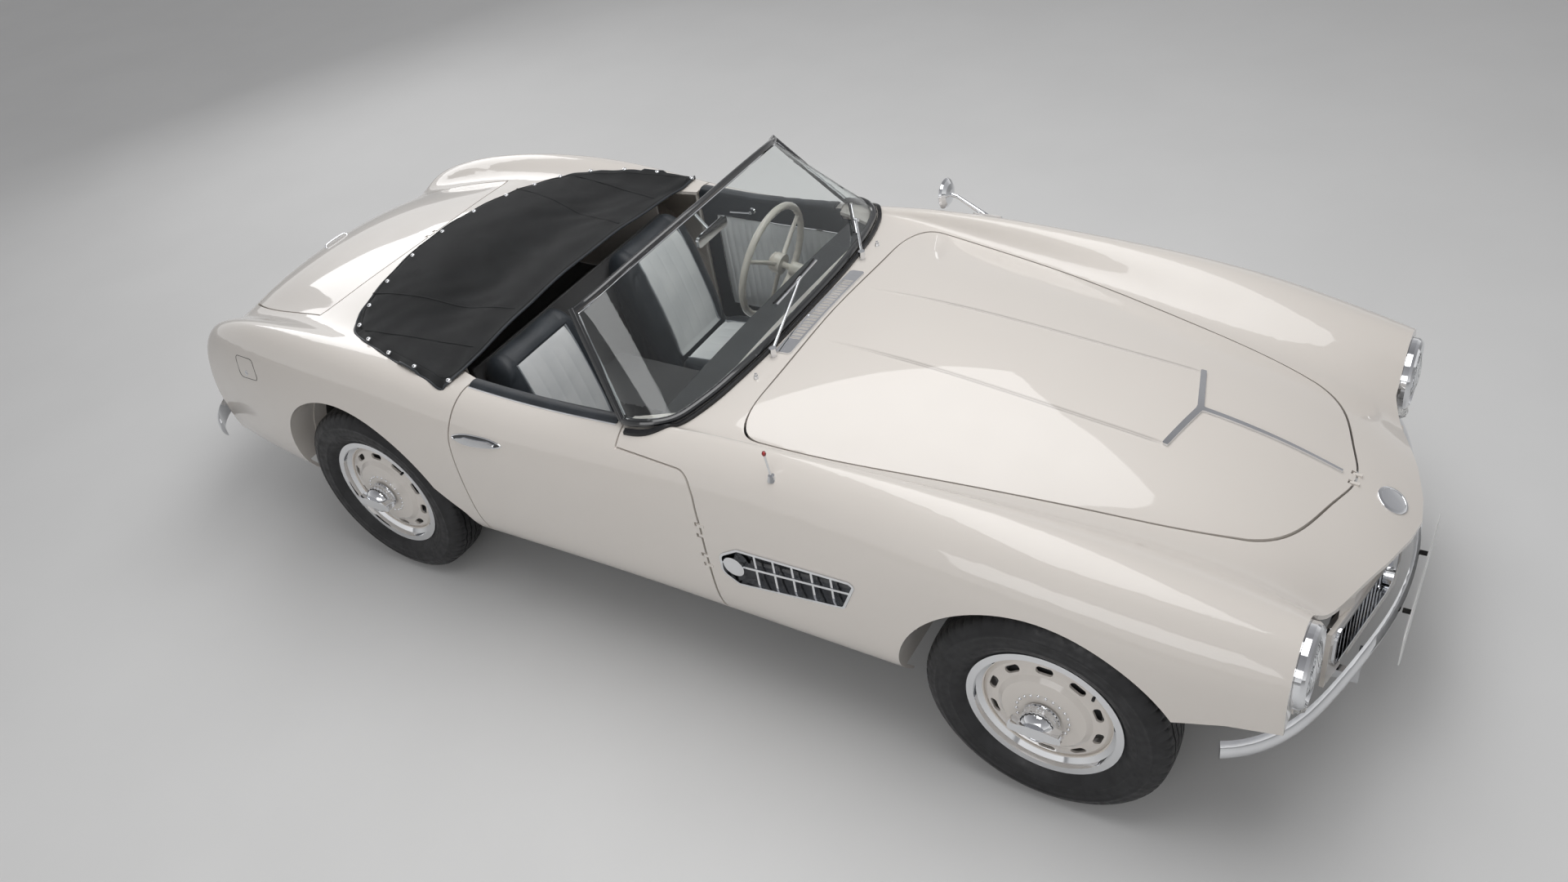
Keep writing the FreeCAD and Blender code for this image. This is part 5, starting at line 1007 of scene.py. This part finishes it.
def steering_grip():
    """The thick rim of the steering wheel with finger notches on its inner side."""
    axis = Vector((-math.cos(GRIP_LEAN), 0.0, math.sin(GRIP_LEAN)))
    side = Vector((0.0, 1.0, 0.0))
    up = axis.cross(side)
    steps, sides = 288, 14
    points = []
    for i in range(steps):
        a = 2 * math.pi * i / steps
        out = side * math.cos(a) + up * math.sin(a)
        notch = 0.0011 * math.cos(36 * a)
        for k in range(sides):
            b = 2 * math.pi * k / sides
            thick = 0.0128 - (notch if math.cos(b) < 0.0 else 0.0) * abs(math.cos(b))
            points.append(GRIP_CENTRE + out * (GRIP_RADIUS + thick * math.cos(b))
                          + axis * (thick * math.sin(b)))
    new_piece("wheel_grip", points, grid(steps, sides, True, True), IVORY_PLASTIC, "steering_wheel")
    boss = [(0.0, 0.0), (0.030, 0.0), (0.034, 0.004), (0.034, 0.010), (0.026, 0.018), (0.0, 0.021)]
    new_piece("wheel_boss", *turned(boss, GRIP_CENTRE - axis * 0.014, axis, 40), IVORY_PLASTIC,
              "steering_wheel", weld=True)


# Nose, tail and plates

def disc_on_skin(name, skin, start, direction, radius, thick):
    place, normal = skin.hit(start, direction)
    profile = [(radius * 0.98, -0.004), (radius, thick * 0.4), (radius * 0.95, thick * 0.8),
               (radius * 0.80, thick), (radius * 0.78, thick * 0.8),
               (radius * 0.5, thick * 1.05), (0.0, thick * 1.2)]
    new_piece(name, *turned(profile, place, normal, 64), CHROME, "car", weld=True)


# Number plates: half their width and height, and the radius of their corners
PLATE_HALF = 0.260
PLATE_TALL = 0.056
PLATE_CORNER = 0.012


def blank_plate(name, x, z, lead):
    """A bare plate with rounded corners; lead is +1 facing forward and -1 facing back."""
    outline = []
    half, tall, radius = PLATE_HALF, PLATE_TALL, PLATE_CORNER
    for cy, cz, a0 in ((half - radius, tall - radius, 0), (-half + radius, tall - radius, 90),
                       (-half + radius, -tall + radius, 180), (half - radius, -tall + radius, 270)):
        for i in range(7):
            a = math.radians(a0 + 15.0 * i)
            outline.append((cy + radius * math.cos(a), cz + radius * math.sin(a)))
    rings = []
    for depth, scale in ((0.0, 1.0), (0.003, 1.0), (0.0038, 0.996), (0.0038, 0.976), (0.0022, 0.968)):
        rings += [Vector((x + lead * depth, y * scale, z + w * (1 - (1 - scale) * half / tall)))
                  for y, w in outline]
    n = len(outline)
    new_piece(name, rings, grid(5, n, wrap_cols=True) + ends(5, n), PLATE, "car")


FUEL_FLAP = [(-1.664, 0.802), (-1.545, 0.816), (-1.528, 0.742), (-1.648, 0.724)]
WIPER_BLADES = {"right": ((-0.090, 0.984), (0.178, 0.987)), "left": ((0.430, 0.948), (0.545, 0.985))}
FIN_COUNT = 56


def trim():
    nose = Skin("front_body", "bonnet")
    disc_on_skin("nose_disc", nose, (2.066, 0.0, 1.2), (0, 0, -1), 0.044, 0.005)
    blank_plate("plate_front", 2.1700, 0.392, 1)
    blank_plate("plate_rear", -2.1500, 0.560, -1)
    brackets = []
    for y in (-0.12, 0.12):
        brackets.append(slab((2.1480, y - 0.007, 0.402), (2.1702, y + 0.007, 0.410), 0.001))
        brackets.append(slab((-2.1502, y - 0.007, 0.590), (-2.1060, y + 0.007, 0.598), 0.001))
    new_piece("plate_brackets", *joined(brackets), FRAME_BLACK, "car", smooth=False)
    fins = [slab((2.006, -0.418, 0.436), (2.014, 0.418, 0.562), 0.001)]
    for i in range(FIN_COUNT):
        y = -0.412 + 0.824 * i / (FIN_COUNT - 1)
        fins.append(slab((2.014, y - 0.001, 0.437), (2.021, y + 0.001, 0.561), 0.0003))
    new_piece("radiator_core", *joined(fins), RADIATOR, "car", smooth=False)
    rear = Skin("rear_body")
    flap = [rear.flank(spot.x, spot.y, -1)[0] for spot in rounded_loop(FUEL_FLAP, 0.020)]
    new_piece("fuel_flap_joint", *swept(flap, 0.0012, 6, closed=True), RUBBER, "car")
    place, normal = rear.flank(-1.600, 0.752, -1)
    new_piece("fuel_flap_lock", *turned([(0.010, -0.002), (0.010, 0.002), (0.006, 0.0035), (0.0, 0.0035)],
                                        place, normal, 20), CHROME, "car", weld=True)
    lid = Skin("boot_lid")
    place, normal = lid.hit((-1.925, 0.0, 2.0), (0, 0, -1))
    grip = smooth_path([place + Vector((0.008, -0.058, -0.001)), place + Vector((0.0, -0.048, 0.007)),
                        place + Vector((-0.002, 0.0, 0.009)),
                        place + Vector((0.0, 0.048, 0.007)), place + Vector((0.008, 0.058, -0.001))], 28)
    new_piece("boot_handle", *swept(grip, 0.0045), CHROME, "boot_lid")
    wing = Skin("front_body")
    tip = Vector((0.617, -0.737, wing.top(0.625, -0.735) + 0.084))
    new_piece("aerial_tip", *turned([(0.0, -0.0075), (0.0045, -0.006), (0.0065, 0.0), (0.0045, 0.006),
                                     (0.0, 0.0075)], tip, (0, 0, 1), 16), LAMP_RED, "car", weld=True)
    glass = Skin("windscreen_glass")
    for word, ends in WIPER_BLADES.items():
        line = []
        for i in range(13):
            t = i / 12
            y, z = ends[0][0] + (ends[1][0] - ends[0][0]) * t, ends[0][1] + (ends[1][1] - ends[0][1]) * t
            place = glass.hit((1.0, y, z), (-1, 0, 0))[0]
            line.append(place + Vector((0.0065, 0.0, 0.0045)))
        new_piece("wiper_rubber_" + word, *swept(line, 0.0032, 6), RUBBER, "car")


# Dials on the dash: distance out, height and radius
DIALS = ((0.440, 0.790, 0.048), (0.300, 0.790, 0.048), (0.370, 0.745, 0.026), (0.180, 0.785, 0.030),
         (-0.180, 0.785, 0.030))
DASH_FACE_X = 0.150


def instruments():
    """Dials with chrome bezels on the dash, and the passenger's grab handle."""
    dials = []
    faces = []
    for y, z, r in DIALS:
        dials.append(turned([(r, -0.001), (r, 0.008), (r * 0.90, 0.011), (r * 0.86, 0.007), (r * 0.86, 0.001)],
                            (DASH_FACE_X, y, z), (-1, 0, 0), 40))
        faces.append(turned([(r * 0.87, 0.002), (0.0, 0.002)], (DASH_FACE_X, y, z), (-1, 0, 0), 40))
        faces.append(swept([(0.1465, y, z), (0.1465, y - r * 0.45, z + r * 0.5)], 0.0012, 6))
    new_piece("dial_bezels", *joined(dials), CHROME, "car")
    new_piece("dial_faces", *joined(faces), DIAL, "car", weld=True)
    grab = smooth_path([(0.148, -0.20, 0.852), (0.118, -0.22, 0.854), (0.118, -0.46, 0.846),
                        (0.148, -0.48, 0.842)], 24)
    new_piece("grab_handle", *swept(grab, 0.008), CHROME, "car")


# Studio

def soft_light(name, place, aim, width, depth, watts):
    data = bpy.data.lights.new(name, "AREA")
    data.shape = "RECTANGLE"
    data.size, data.size_y, data.energy = width, depth, watts
    lamp = bpy.data.objects.new(name, data)
    lamp.location = place
    lamp.rotation_mode = "QUATERNION"
    lamp.rotation_quaternion = (Vector(aim) - Vector(place)).to_track_quat("-Z", "Y")
    lamp.visible_camera = False
    bpy.context.scene.collection.objects.link(lamp)


def studio():
    scene = bpy.context.scene
    scene.view_settings.view_transform = "Standard"
    floor_mesh = bpy.data.meshes.new("floor")
    reach = 40.0
    corners = [(-reach, -reach, 0), (reach, -reach, 0), (reach, reach, 0), (-reach, reach, 0)]
    floor_mesh.from_pydata(corners, [], [(0, 1, 2, 3)])
    floor = bpy.data.objects.new("floor", floor_mesh)
    scene.collection.objects.link(floor)
    f = Finish("floor_pale", **{"Specular IOR Level": 0.2})
    f.coloured(colour(0.74, 0.74, 0.735), colour(0.76, 0.76, 0.755), 1.5)
    f.rough(0.75, 0.85, 30.0)
    floor_mesh.materials.append(f.material)

    world = bpy.data.worlds.new("studio")
    world.use_nodes = True
    scene.world = world
    tree = world.node_tree

    def add(kind):
        return tree.nodes.new("ShaderNode" + kind)

    place, split, ramp = add("TexCoord"), add("SeparateXYZ"), add("ValToRGB")
    rays, seen, through, pick = add("LightPath"), add("Math"), add("Math"), add("Mix")
    seen.operation = through.operation = "MAXIMUM"
    pick.data_type = "RGBA"
    pick.inputs[6].default_value = (0.34, 0.34, 0.345, 1)
    stops = ramp.color_ramp.elements
    stops[0].position, stops[0].color = 0.0, (0.80, 0.80, 0.80, 1)
    stops[1].position, stops[1].color = 1.0, (0.22, 0.22, 0.23, 1)
    stops.new(0.35).color = (0.42, 0.42, 0.43, 1)
    for start, end in ((place.outputs["Generated"], split.inputs["Vector"]),
                       (split.outputs["Z"], ramp.inputs["Fac"]),
                       (rays.outputs["Is Camera Ray"], seen.inputs[0]),
                       (rays.outputs["Is Glossy Ray"], seen.inputs[1]),
                       (seen.outputs[0], through.inputs[0]),
                       (rays.outputs["Is Transmission Ray"], through.inputs[1]),
                       (through.outputs[0], pick.inputs["Factor"]), (ramp.outputs["Color"], pick.inputs[7]),
                       (pick.outputs[2], tree.nodes["Background"].inputs["Color"])):
        tree.links.new(start, end)

    soft_light("overhead_softbox", (0.6, 0.4, 4.6), (0.0, 0.0, 0.4), 5.5, 2.6, 125.0)
    soft_light("side_softbox", (1.5, -5.2, 2.4), (0.2, 0.0, 0.5), 4.0, 1.6, 45.0)
    soft_light("rear_softbox", (-5.0, 2.5, 2.6), (0.0, 0.0, 0.6), 2.6, 1.8, 34.0)


def camera():
    data = bpy.data.cameras.new("camera")
    data.sensor_width = SENSOR
    data.lens = FOCAL_PIXELS / FRAME_WIDTH * SENSOR
    cam = bpy.data.objects.new("camera", data)
    ahead = (CAMERA_AIM - CAMERA_AT).normalized()
    right = ahead.cross(Vector((0, 0, 1))).normalized()
    up = right.cross(ahead)
    across = right * math.cos(CAMERA_ROLL) + up * math.sin(CAMERA_ROLL)
    upright = up * math.cos(CAMERA_ROLL) - right * math.sin(CAMERA_ROLL)
    turn = Matrix((across, upright, -ahead)).transposed()
    cam.matrix_world = Matrix.Translation(CAMERA_AT) @ turn.to_4x4()
    bpy.context.scene.collection.objects.link(cam)
    bpy.context.scene.camera = cam


def main():
    studio()
    camera()
    dress_nodes()
    tyres()
    wheel_fittings()
    wheel_housings()
    seats()
    soft_cover()
    door_trim()
    door_shells()
    screen_beads()
    steering_grip()
    trim()
    instruments()


main()
